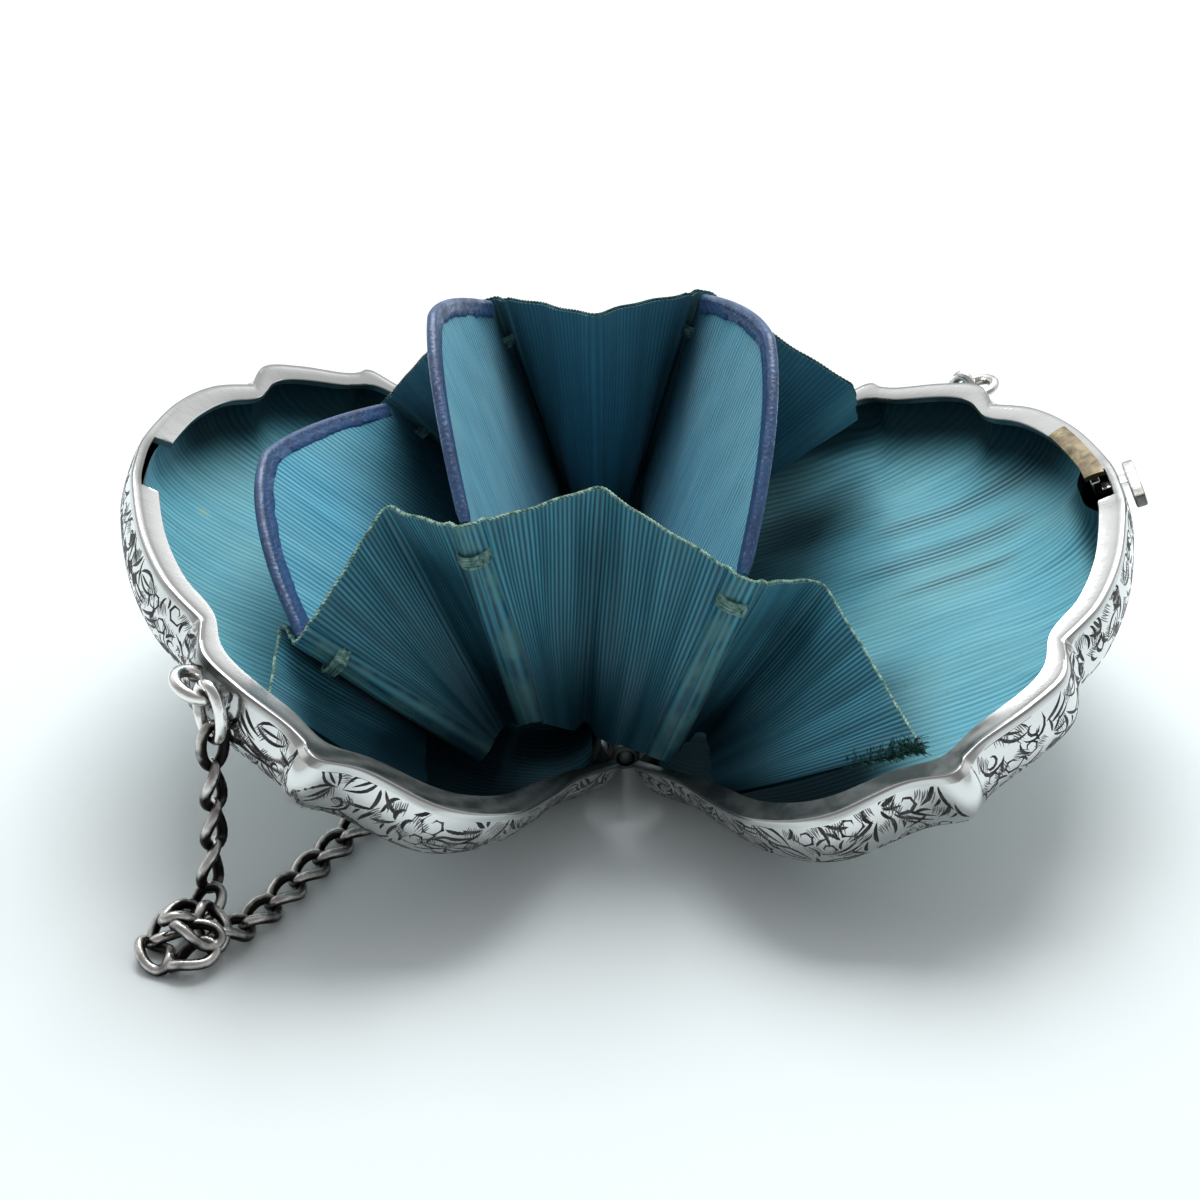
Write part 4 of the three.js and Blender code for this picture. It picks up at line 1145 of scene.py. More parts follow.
@dataclass
class Lining:
    """Ribbed silk stretched over the inside of a shell, tucked under its flange."""

    side: Side
    tip_clearance: float
    # Ribs pressed into furrows, which are painted as shade and not shaped: middle and half width along the
    # hinge, and reach out from it
    pressed: tuple = ()
    inset: float = 1.5
    hinge_r: float = 1.7
    edge_drop: float = 0.95
    depth: float = 5.9
    thick: float = 0.6
    waviness: float = 0.16
    stain_at: tuple = (41.0, 4.0)
    edge_soil: float = 0.5
    # Painted shade: how dark the silk is by the hinge, under the flange, behind the leaves, and by the
    # catch, where it stands for dirt too, and at most
    hinge_shade: float = 0.75
    flange_shade: float = 0.94
    leaf_shade: float = 0.92
    catch_shade: float = 0.8
    most_shade: float = 0.97
    # The cut panel's box, and the share of it that the scalloped panel fills
    flat: tuple = (73 * MM, 50 * MM)
    flat_share: float = 0.8

    def rows(self) -> Array:
        """Rows of (r, t, n): a shallow dish with soft waves from the middle outwards, then its underside."""
        edge = RIM.outline()[::2]
        near_tip = smoothstep(41.0, 45.0, edge[:, 0]) * (1 - smoothstep(1.5, 7.5, np.abs(edge[:, 1] - 1.5)))
        edge = np.stack([np.maximum(edge[:, 0], self.hinge_r), edge[:, 1]], axis=1)
        edge = RIM.inset(edge, self.inset + self.tip_clearance * near_tip)
        dish = RIM.dish(edge, np.linspace(0, 1, 40), self.edge_drop, self.depth, 1.0)
        middle = RIM.panel(dish[-1], np.linspace(0.94, 0.03, 14))
        top = np.concatenate([dish, middle])
        r, t = top[..., 0], top[..., 1]
        wave = self.waviness * np.sin(r * 0.34 + 0.5 * np.sin(t * 0.21)) * np.sin(t * 0.17 + r * 0.1)
        top[..., 2] += wave * smoothstep(1.0, 4.0, top[..., 2])
        return np.concatenate([top[::-1], top + (0.0, 0.0, self.thick)])

    def furrows(self, r: Array, t: Array) -> Array:
        """How far the ribs are pressed in, a mark that paints shade between the ribs: a bell across each
        furrow, with soft ends along it.
        """
        press = np.zeros(r.shape)
        for middle, half, start, end in self.pressed:
            length = smoothstep(start, start + 6, r) * (1 - smoothstep(end - 5, end, r))
            press = np.maximum(press, np.exp(-((t - middle) / half) ** 2) * length)
        return press

    def shade(self, r: Array, t: Array, n: Array) -> Array:
        """Painted shade where little light comes, with dirt by the catch: the darkest of soft bands of r, t
        and n.
        """
        under_ribbon = (1 - smoothstep(19.0, 30.0, r)) * smoothstep(3.0, 12.0, -t)
        in_hinge = 1 - smoothstep(4.0, 12.0, r)
        by_hinge = self.hinge_shade * (1 - smoothstep(9.0, 25.0, r))
        under_flange = self.flange_shade * smoothstep(3.0, 14.0, t) * (1 - smoothstep(3.4, 5.9, n))
        behind_leaf = self.leaf_shade * smoothstep(10.0, 24.0, t) * (1 - smoothstep(16.0, 31.0, r))
        by_catch = self.catch_shade * smoothstep(43.0, 45.2, r) * (1 - smoothstep(5.0, 9.0, np.abs(t)))
        by_catch = by_catch * (self.side.sign > 0)
        bands = [under_ribbon, in_hinge, by_hinge, under_flange, behind_leaf, by_catch]
        return self.most_shade * np.max(bands, axis=0)

    def build(self) -> None:
        """Makes the silk, with its stain, soiled edge, and painted shade in its furrows and where little
        light comes.
        """
        rows = self.rows()
        r, t, n = rows[..., 0], rows[..., 1], rows[..., 2]
        off_stain = (r - self.stain_at[0]) ** 2 + (t - self.stain_at[1]) ** 2
        stain = np.exp(-off_stain / 0.5) * (self.side.sign < 0)
        soil = np.clip(stain + self.edge_soil * (1 - smoothstep(0.9, 2.0, n)), 0, 1)
        marks = {"soil": soil, "press": self.furrows(r, t), "deep": self.shade(r, t, n)}
        skin = Patch(self.side.place(r, t, n), marks=marks)
        name = self.side.name
        cloth = Piece(f"{name}_lining", [skin], LINING_SILK, (f"lining_{name}",)).make()


# Concertina


@dataclass(frozen=True)
class LeafEdge:
    """One side edge of a leaf, as (x, z) at its bottom, top and tongue."""

    bottom: tuple[float, float]
    top: tuple[float, float]
    tongue: tuple[float, float]


@dataclass
class Leaf:
    """A stiff silk leaf with a domed top edge and a leather binding folded over it."""

    number: int
    bulge: float
    front: LeafEdge
    back: LeafEdge
    half_width: float = 20.2
    thick: float = 0.7
    dome: float = 9.4
    dome_power_front: float = 1.8
    dome_power_back: float = 1.3
    tongue_half_width: float = 14.2
    binding_half: float = 0.53
    binding_wall: float = 0.17
    binding_width: float = 1.7
    binding_end: float = 0.997
    # How far the silk's top edge lies below the binding's
    silk_drop: float = 0.55
    # Painted shade on the leaf's face: how dark it gets at most
    darkest: float = 0.88
    # Painted shade: share of the way to the back edge where the leaf starts to darken and where it is dark
    darkens: tuple = (0.72, 1.05)
    darkens_downwards: float = 0.0

    def edge_point(self, level: str, facing: float) -> tuple[float, float]:
        """The (x, z) of a side edge at a level."""
        return getattr(self.front if facing < 0 else self.back, level)

    def surface(self, s: Array, height: Array, drop: Any = 0.0) -> Array:
        """Points of the leaf's middle surface.

        The side edges are blended across s, the top is raised by a dome and the whole is bowed.

        Args:
            s: -1 at the front edge to 1 at the back.
            height: 0 at the bottom to 1 at the top.
            drop: distance below the top edge.

        Returns:
            The points (x, y, z).
        """
        share = ((s + 1) / 2)[..., None]
        bottom = lerp(np.array(self.front.bottom), np.array(self.back.bottom), share)
        top = lerp(np.array(self.front.top), np.array(self.back.top), share)
        power = np.where(s > 0, self.dome_power_back, self.dome_power_front)
        rise = self.dome * (1 - np.abs(s) ** power) - drop
        top = top + unit(top - bottom) * rise[..., None]
        flat = lerp(bottom, top, height[..., None])
        x = flat[..., 0] + self.bulge * (1 - s * s) * height
        return np.stack([x, s * self.half_width, flat[..., 1]], axis=-1)

    def build(self) -> None:
        """Makes the silk leaf and its binding."""
        Piece(f"silk_leaf_{self.number}", [self.silk()], LEAF_SILK, (f"leaf_{self.number}",)).make()
        Piece(f"leaf_binding_{self.number}", [self.binding()], LEATHER, (f"binding_{self.number}",)).make()

    def silk(self) -> Patch:
        """The leaf as a thin plate: a tongue at the bottom that widens to the leaf."""
        s, height = np.meshgrid(np.linspace(-1, 1, 81), np.linspace(0, 1, 44), indexing="ij")
        middle = self.surface(s, height, self.silk_drop)
        share = (s[:, :1] + 1) / 2
        x, z = (lerp(self.front.tongue[k], self.back.tongue[k], share) for k in (0, 1))
        tongue = np.stack([x, s[:, :1] * self.tongue_half_width, z], axis=-1)
        steps = lerp(tongue, middle[:, :1], np.array([0, 0.35, 0.7])[:, None])
        middle = np.concatenate([steps, middle], axis=1)
        normals = surface_normals(middle)
        y, z = middle[..., 1], middle[..., 2]
        pucker = 0.07 * np.sin(y * 0.9 + 1.3 * np.sin(z * 0.4 + self.number)) * np.sin(z * 0.5)
        middle = middle + normals * pucker[..., None]
        s, height = (np.concatenate([values[:, [0, 0, 0]], values], axis=1) for values in (s, height))
        soil = 0.35 * smoothstep(0.86, 1.0, np.abs(s))
        # Painted shade, growing towards the back edge, and lower down where darkens_downwards is set
        start, end = self.darkens
        deep = self.darkest * smoothstep(start, end, (s + 1) / 2 - self.darkens_downwards * height)
        half = normals * self.thick / 2
        return plate(middle + half, middle - half, soil=soil, deep=deep)

    def binding(self) -> Patch:
        """Leather folded over the top edge: a U section with a round roll, carried along the edge."""
        s = self.binding_end * np.sin(np.linspace(-1, 1, 181) * np.pi / 2)
        one = np.ones_like(s)
        top = self.surface(s, one)
        step = 0.01
        across = self.surface(s + step, one) - self.surface(s - step, one)
        upwards = self.surface(s, one) - self.surface(s, one - step)
        normal = unit(np.cross(across, upwards))
        inward = unit(np.cross(unit(across), normal))
        inward = inward * np.sign(-inward[:, 2:3])
        half, wall, width = self.binding_half, self.binding_wall, self.binding_width
        chance = np.random.default_rng(40 + self.number)
        ragged = np.convolve(chance.normal(0, 0.16, len(s) + 4), np.ones(5) / 5, "valid")
        roll = np.radians(np.linspace(-20, 200, 15))
        outer = [(half * math.cos(a), half - half * math.sin(a) - 0.1) for a in roll]
        band = half * 0.9
        outer = [(band - 0.1, width), (band, width - 0.15), (band, width * 0.6)] + outer
        outer += [(-band, width * 0.6), (-band, width - 0.15), (0.1 - band, width)]
        inner = [(wall - band, width), (wall - band, 0.9), (-0.2, 0.5), (0.2, 0.5), (band - wall, 0.9),
                 (band - wall, width)]
        loop = np.array(outer + inner)
        low = (loop[:, 1] >= width * 0.92)[None, :] * ragged[:, None]
        down = loop[None, :, 1] + low
        slim = lerp(1.0, 0.72, smoothstep(0.95, 1.0, np.abs(s)))[:, None, None]
        sideways = normal[:, None] * loop[None, :, :1] * slim
        points = top[:, None] + sideways + inward[:, None] * down[..., None]
        edge = np.broadcast_to(np.clip(1.3 - loop[:, 1] / 1.2, 0, 1), points.shape[:2])
        return Patch(points, marks={"edge": edge})


LEAVES = (
    Leaf(1, 0.0, LeafEdge((-12.6, 2.2), (-28.2, 14.2), (-12.2, 1.9)),
         LeafEdge((-8.5, 2.9), (-23.1, 16.2), (-8.1, 2.5)), darkens=(-0.3, 0.25), darkens_downwards=1.0),
    Leaf(2, -1.3, LeafEdge((-8.6, 5.8), (-13.7, 25.3), (-7.9, 3.1)),
         LeafEdge((-6.5, 7.9), (-12.5, 27.2), (-5.1, 3.5))),
    Leaf(3, 1.2, LeafEdge((3.1, 1.9), (10.0, 20.1), (2.9, 1.4)),
         LeafEdge((3.0, 8.2), (8.2, 27.8), (1.9, 3.3))),
)


@dataclass
class PocketFloor:
    """The silk strip under the leaves that closes the pockets above the hinge."""

    front_end: float = -14.0
    back_end: float = 18.6
    thick: float = 0.8
    end_rise: float = 1.6
    rows: tuple = (((-11.1, 2.3), (-7.0, 2.7)), ((-3.0, 2.15), (-3.0, 2.15)), ((1.7, 2.2), (1.2, 2.15)))

    def build(self) -> None:
        """Makes the strip: a smooth curve across at both ends, with straight lines between them."""
        front, back = (through([row[k] for row in self.rows], 41) for k in (0, 1))
        share = np.linspace(0, 1, 61)[:, None]
        flat = lerp(front[None], back[None], share[..., None])
        y = np.broadcast_to(lerp(self.front_end, self.back_end, share), flat.shape[:2])
        sag = 0.12 * np.sin(flat[..., 0] * 0.9) * np.cos(y * 0.2)
        rise = self.end_rise * smoothstep(13.0, self.back_end, y)
        middle = np.stack([flat[..., 0], y, flat[..., 1] + sag + rise], axis=-1)
        lift = np.array([0.0, 0.0, self.thick / 2])
        # Painted shade, darker towards both ends of the strip
        deep = 0.8 * smoothstep(4.0, 12.0, np.abs(y)) + 0.1
        strip = plate(middle + lift, middle - lift, deep=deep)
        Piece("silk_pocket_floor", [strip], LEAF_SILK, ("pocket_floor",)).make()


@dataclass
class Gusset:
    """Pleated ribbon that folds in between the leaves and passes round each leaf's side edge."""

    name: str
    facing: float
    # Each fold's place at its bottom and at its top
    folds: tuple
    fray: bool
    wrap_y: float = 21.0
    wrap_half: float = 0.74
    fold_radius: float = 0.9
    rib_pitch: float = 0.48
    rib_height: float = 0.07
    samples_per_rib: int = 5
    rows: int = 30
    thick: float = 0.42
    billow: float = 0.7
    # How far the lower edge goes on below the leaves' corners, as a share of the height, and how low
    tuck: float = 0.0
    tuck_level: float = 1.5
    fold_gap: float = 0.06
    # Shade between the folds: places counted in panels and folds from the left end, and how dark each is
    shades: tuple = ((0.0, 0.0),)
    finish: RibbonFinish = RIBBON
    selvedge_thread: ThreadFinish = THREAD
    tie_thread: ThreadFinish = TIE_THREAD
    bottom_shade: float = 0.5
    most_shade: float = 0.92
    tie_heights: tuple = (0.8, 0.84, 0.86)
    tie_turns: int = 5
    tie_radius: float = 1.3
    tie_inset: float = 0.7
    tie_strand: float = 0.17
    knot_strand: float = 0.19
    strand: float = 0.09
    strand_step: float = 0.085
    twist_pitch: float = 0.75
    # The ribbon is narrower at its bottom, so its area is this share of its height times its top edge
    narrowing: float = 0.85
    # Loose fibres: how far up the end they start, how many columns they start from, and their lengths
    fray_seed: int = 77
    fray_from: float = 0.62
    fray_columns: int = 14
    fibre_lengths: tuple = (0.1, 1.2)
    # The ribbon is drawn in beside each leaf's edge, so that the edge stands out as a tube
    pinch_at: float = 1.65
    pinch_depth: float = 0.45

    def wraps(self, leaf: Leaf, level: str) -> list[Array]:
        """The ribbon's two corners round a leaf's side edge at a level."""
        step = 0.02
        s = np.array([self.facing * (1 - step)])
        height = np.array([1.0 if level == "top" else 0.0])
        across = leaf.surface(s + step, height) - leaf.surface(s - step, height)
        upwards = leaf.surface(s, height + step) - leaf.surface(s, height - step)
        normal = unit(np.cross(across, upwards))[0]
        away = normal * -np.sign(normal[0])
        x, z = leaf.edge_point(level, self.facing)
        edge = np.array([x, self.facing * self.wrap_y, z])
        return [edge + away * self.wrap_half, edge - away * self.wrap_half]

    def corners(self) -> tuple[Array, Array]:
        """The path's corners at the bottom and at the top."""
        lines = []
        for index, level in enumerate(("bottom", "top")):
            places = [np.array(fold[index]) for fold in self.folds]
            line = [places[0], places[1]]
            for leaf, fold in zip(LEAVES, places[2:]):
                line += self.wraps(leaf, level) + [fold]
            lines.append(np.array(line + [places[-1]]))
        bottom, top = lines
        rise = top - bottom
        lower = np.clip((bottom[:, 2:] - self.tuck_level) / rise[:, 2:], 0, self.tuck)
        return bottom - rise * lower, top

    def stretches(self) -> list[tuple[Array, bool]]:
        """The path's straight panels and rounded folds for every row, and whether each one is a panel."""
        bottom, top = self.corners()
        height = np.linspace(0, 1, self.rows)[:, None, None]
        corners = lerp(bottom[None], top[None], height)
        limit_share = 0.45
        found, start = [], corners[:, 0]
        for k in range(1, corners.shape[1] - 1):
            here = corners[:, k]
            back, ahead = corners[:, k - 1] - here, corners[:, k + 1] - here
            limit = limit_share * np.minimum(np.linalg.norm(back, axis=1), np.linalg.norm(ahead, axis=1))
            back, ahead = unit(back), unit(ahead)
            half = np.arccos(np.clip(np.sum(back * ahead, axis=1), -1, 1)) / 2
            leg = np.minimum(self.fold_radius / np.tan(half), limit)
            bend = (leg * np.tan(half))[:, None]
            centre = here + unit(back + ahead) * (leg / np.cos(half))[:, None]
            into, out = here + back * leg[:, None], here + ahead * leg[:, None]
            found.append((self.between(start, into), True))
            spokes = self.between(into - centre, out - centre, 1.3)
            found.append((centre[:, None] + unit(spokes) * bend[:, None], False))
            start = out
        found.append((self.between(start, corners[:, -1]), True))
        return found

    def between(self, start: Array, end: Array, more: float = 1.0) -> Array:
        """Straight samples from start to end, as many as the ribs on the longest row need."""
        longest = np.linalg.norm(end - start, axis=1).max()
        count = max(int(longest * more * self.samples_per_rib / self.rib_pitch), 3)
        return lerp(start[:, None], end[:, None], np.linspace(0, 1, count, endpoint=False)[None, :, None])

    def surface(self) -> tuple[Array, Array, Array, Array]:
        """The ribbon's middle surface with billowing panels.

        Returns:
            Points, rows by columns, and for each column its distance along the top edge, its nearness to a
            wrap and its shade.
        """
        stretches = self.stretches()
        grid = np.concatenate([points for points, _ in stretches], axis=1)
        counts = [points.shape[1] for points, _ in stretches]
        starts = np.cumsum([0] + counts)
        # The fold between the second leaf and the third
        middle_stretch = len(stretches) // 2 + 3
        middle_fold = (starts[middle_stretch] + starts[middle_stretch + 1]) // 2
        reach = 14.0
        near_fold = np.exp(-((np.arange(grid.shape[1]) - middle_fold) / reach) ** 2)
        share = lerp(self.fold_gap * near_fold[None], 1.0, np.linspace(0, 1, self.rows)[:, None])[..., None]
        grid = lerp(grid[:1], grid[-1:], share)
        swell = np.concatenate([np.sin(np.pi * np.linspace(0, 1, count)) * panel * count ** 0.5
                                for count, (_, panel) in zip(counts, stretches)])
        swell = swell / swell.max()
        height = np.linspace(0, 1, self.rows)[:, None]
        normals = surface_normals(grid)
        wave = self.billow * np.sin(np.pi * np.clip(height * 0.85 + 0.1, 0, 1)) * swell
        travelled = lengths_along(grid[-1])
        ripple = 0.2 * np.sin(travelled * 0.5 + 2.6 * height) * np.sin(height * 5.0)
        ripple = ripple + 0.1 * np.sin(travelled * 1.3 - 3.4 * height + 1.0)
        bent = grid + normals * (wave + ripple)[..., None] * self.facing
        wrap, pinch = np.zeros(grid.shape[1]), np.zeros(grid.shape[1])
        for leaf in LEAVES:
            x, z = leaf.edge_point("top", self.facing)
            away = np.linalg.norm(grid[-1] - (x, self.facing * self.wrap_y, z), axis=1)
            wrap = np.maximum(wrap, 1 - smoothstep(1.0, 1.6, away))
            pinch = np.maximum(pinch, np.exp(-((away - self.pinch_at) / 0.45) ** 2))
        bent[..., 1] -= self.facing * self.pinch_depth * pinch
        counted = np.interp(np.arange(grid.shape[1]), starts, np.arange(len(starts)))
        shade = np.interp(counted, *zip(*self.shades))
        return bent, travelled, wrap, shade

    def build(self) -> None:
        """Makes the ribbon, its twisted selvedge, the thread ties and any frayed end."""
        grid, travelled, wrap, shade = self.surface()
        normals = surface_normals(grid)
        waver = 0.5 * np.sin(travelled * 1.9) + 0.4 * np.sin(travelled * 0.83 + 2.0)
        ribs = 0.5 + 0.5 * np.cos(travelled / self.rib_pitch * 2 * np.pi + waver)
        height = np.linspace(0, 1, self.rows)[:, None]
        patches = np.sin(travelled * 2.3 + 4.0 * height) * np.sin(travelled * 0.7 - 2.0 * height)
        uneven = 0.78 + 0.22 * patches
        depth = ribs[None] * uneven * lerp(0.2, 1.0, smoothstep(0.12, 0.65, height))
        reach = (self.thick / 2 + self.rib_height * depth)[..., None]
        fade = np.clip(wrap[None] * (0.6 + 0.4 * height) + 0.35 * smoothstep(0.95, 1.0, height), 0, 1)
        ends = np.minimum(np.arange(len(travelled)), np.arange(len(travelled))[::-1]) > 0
        # The crest mark paints highlight on rib crests and shade between them, weaker lower down
        crest = depth * ends
        shade = shade[None] * lerp(1.0, 0.2, smoothstep(0.7, 1.0, height))
        shade = shade + self.bottom_shade * (1 - smoothstep(0.0, 0.4, height))
        shade = np.clip(shade, 0, self.most_shade)
        front, back = ((grid + way * normals * reach).swapaxes(0, 1) for way in (1, -1))
        skin = plate(front, back, fade=fade.T, crest=crest.T, shade=shade.T)
        node = f"gusset_{self.name}"
        cloth = Piece(f"{self.name}_ribbon", [skin], self.finish, (node,), sharp_degrees=80).make()
        selvedge = self.selvedge(grid[-1], normals[-1])
        trim = [Piece(f"{self.name}_selvedge", selvedge, self.selvedge_thread).make(),
                Piece(f"{self.name}_ties", self.ties(), self.tie_thread).make()]
        if self.fray:
            trim.append(Piece(f"{self.name}_frayed_end", [self.fibres(grid, normals)], FRAY).make())

    def selvedge(self, path: Array, normals: Array) -> list[Patch]:
        """Two strands twisted about the top edge: circles about a helix."""
        count = int(lengths_along(path)[-1] / self.strand_step)
        joined = evenly(np.concatenate([path, normals], axis=1), count)
        line, beside = joined[:, :3] + (0, 0, 0.05), unit(joined[:, 3:])
        forward = unit(np.gradient(line, axis=0))
        third = np.cross(forward, beside)
        turn = lengths_along(line)[:, None] / self.twist_pitch * 2 * np.pi
        twist = self.strand * 0.9
        spokes = [np.cos(turn + phase) * beside + np.sin(turn + phase) * third for phase in (0, np.pi)]
        return [tube(line + twist * spoke, self.strand, 6, third) for spoke in spokes]

    def ties(self) -> list[Patch]:
        """Thread wound in an uneven helix round each leaf's edge tube, with a small looped knot."""
        bottom, top = self.corners()
        patches = []
        for number, height in enumerate(self.tie_heights):
            first = 2 + 3 * number
            pair = lerp(bottom[first:first + 2], top[first:first + 2], height)
            upwards = unit((top - bottom)[first])
            middle = pair.mean(axis=0) - (0, self.facing * self.tie_inset, 0)
            across = unit(pair[1] - pair[0])
            depth = np.cross(upwards, across)
            turn = np.linspace(0, 2 * np.pi * self.tie_turns, 200)[:, None]
            rise = np.linspace(-0.5, 0.5, 200)[:, None] + 0.07 * np.sin(turn * 0.71 + number)
            loose = self.tie_radius + 0.05 * np.sin(turn * 1.37 + number)
            wound = middle + (across * np.cos(turn) + depth * np.sin(turn)) * loose + upwards * rise
            patches.append(tube(wound, self.tie_strand, 6, np.broadcast_to(upwards, wound.shape)))
            knot_turn = np.linspace(0, 6 * np.pi, 90)[:, None]
            front = middle + (0, self.facing * 1.15, 0) + across * 0.65
            knot = front + across * np.cos(knot_turn) * 0.3 + upwards * np.sin(knot_turn * 1.5) * 0.42
            knot = knot + np.array([0, self.facing * 0.2, 0]) * np.cos(knot_turn * 0.5)
            beside = np.broadcast_to(upwards, knot.shape) + depth * 0.3
            patches.append(tube(knot, self.knot_strand, 6, beside))
        return patches

    def fibres(self, grid: Array, normals: Array, count: int = 900) -> Patch:
        """Loose fibres at the ribbon's right end: short tapered threads that curl most at their tips."""
        chance = np.random.default_rng(self.fray_seed)
        samples, sides = 7, 4
        row = (chance.triangular(self.fray_from, 1.0, 1.0, count) * (self.rows - 1)).astype(int)
        column = grid.shape[1] - 1 - chance.integers(0, self.fray_columns, count)
        roots = grid[row, column]
        outwards = unit(grid[row, -1] - grid[row, -12])
        outwards = unit(0.35 * outwards + unit(grid[-1, -1] - grid[0, -1]))
        sideways = normals[row, column]
        share = np.linspace(0, 1, samples)[None, :, None]
        long = chance.uniform(*self.fibre_lengths, count)[:, None, None]
        curl = chance.normal(0, 0.26, (count, 1, 3))
        curl = curl + sideways[:, None] * chance.normal(0, 0.3, (count, 1, 1))
        line = roots[:, None] + outwards[:, None] * share * long + curl * share ** 2
        forward = unit(np.gradient(line, axis=1))
        first = unit(np.cross(forward, np.array([0.3, 0.2, 1.0])))
        second = np.cross(forward, first)
        turn = np.linspace(0, 2 * np.pi, sides, endpoint=False)[:, None]
        spokes = first[:, :, None] * np.cos(turn) + second[:, :, None] * np.sin(turn)
        return Patch(line[:, :, None] + spokes * lerp(0.08, 0.03, share)[..., None])


# Chain and catch


@dataclass
class Chain:
    """Curb chain from the left shell's eyelet over the floor to the right shell's, with its jump rings."""

    left: Shell
    right: Shell
    ring: OvalWire = OvalWire(6.2, 4.2, 1.05)
    link: OvalWire = OvalWire(4.98, 3.3, 0.97)
    pitch: float = 3.65
    twist: float = math.pi / 4
    touch: float = 0.25
    lie: float = 0.95
    steep: float = 0.6
    # Where the chain's middle passes: x, y, and height above where it lies flat
    route: tuple = (
        (-35.2, -33.0, 4.6), (-36.2, -36.0, 0.8), (-39.6, -37.8, 0.0), (-39.0, -41.0, 0.0),
        (-35.4, -40.8, 0.2), (-35.2, -37.4, 1.9), (-38.0, -38.4, 2.2), (-35.8, -40.0, 1.9),
        (-32.2, -36.4, 0.0), (-28.4, -30.0, 0.0), (-24.4, -23.0, 0.0), (-18.6, -12.0, 0.0),
        (-15.4, 0.0, 0.0), (-14.4, 12.0, 0.0), (-10.4, 24.0, 0.0), (-1.0, 32.0, 0.0),
        (11.0, 35.0, 0.0), (23.0, 36.0, 0.0), (31.0, 35.2, 0.0), (35.2, 32.6, 3.4),
    )

    def ring_place(self, shell: Shell) -> tuple[Array, Array]:
        """A jump ring's middle and the direction across it, where it hangs on the eyelet's lower side."""
        side, facing = shell.side, shell.eyelet_facing
        outwards = side.place(1.0, 0.0, 0.0)
        lengthwise = np.array([0.0, facing, 0.0])
        spoke = unit(lengthwise - outwards)
        wire = shell.eyelet_wire
        eyelet = side.place(shell.eyelet_r, facing * shell.eyelet_t, shell.eyelet_n)
        carrier = eyelet + spoke * (wire.length - wire.wire) / 2
        rise = (wire.wire + self.ring.wire) / 2 + self.touch
        drop = (self.ring.length - self.ring.wire) / 2 - rise
        return carrier - (0, 0, drop), np.array([spoke[0], spoke[1], 0.0])

    def end(self, shell: Shell) -> Array:
        """The middle of the chain's end link, which the jump ring passes through."""
        lowest = (self.ring.length - self.ring.wire) / 2
        reach = (self.link.length - self.link.wire) / 2
        clear = (self.ring.wire + self.link.wire) / 2 + self.touch
        return self.ring_place(shell)[0] + (0, 0, clear - lowest - reach)

    def links(self) -> Patch:
        """Twisted oval links along the route, each one lifted clear of the floor."""
        flat = np.array(self.route) + (0, 0, FLOOR_LEVEL + self.lie)
        path = np.concatenate([[self.end(self.left)], flat, [self.end(self.right)]])
        line = through(path, 4000, 0.5)
        count = round(lengths_along(line)[-1] / self.pitch) + 1
        centres = evenly(line, count)
        along = unit(np.gradient(centres, axis=0))
        along[[0, -1]] = (0, 0, 1)
        flat_side = np.cross((0.0, 0.0, 1.0), along)
        hung = [np.cross(self.ring_place(shell)[1], (0.0, 0.0, 1.0)) for shell in (self.left, self.right)]
        edge_on = np.array([0.3, 1.0, 0.0])
        across = np.where(np.abs(along[:, 2:]) < self.steep, flat_side, edge_on)
        across[[0, -1]] = hung
        twist = np.full(count, self.twist)
        twist[[0, -1]] = 0.0
        rings = self.link.rings(centres, along, across, twist, 28, 10)
        low = rings.points[..., 2].min(axis=(1, 2))
        rings.points[..., 2] += np.maximum(FLOOR_LEVEL - low, 0)[:, None, None]
        return rings

    def build(self) -> None:
        """Makes the chain and its two jump rings."""
        Piece("curb_chain", [self.links()], CHAIN_SILVER, ("chain",)).make()
        upright = np.array([[0.0, 0.0, 1.0]])
        for shell in (self.left, self.right):
            centre, across = self.ring_place(shell)
            name = shell.side.name
            ring = self.ring.rings(centre[None], upright, across[None])
            Piece(f"{name}_jump_ring", [ring], RING_SILVER, (f"chain_ring_{name}",)).make()


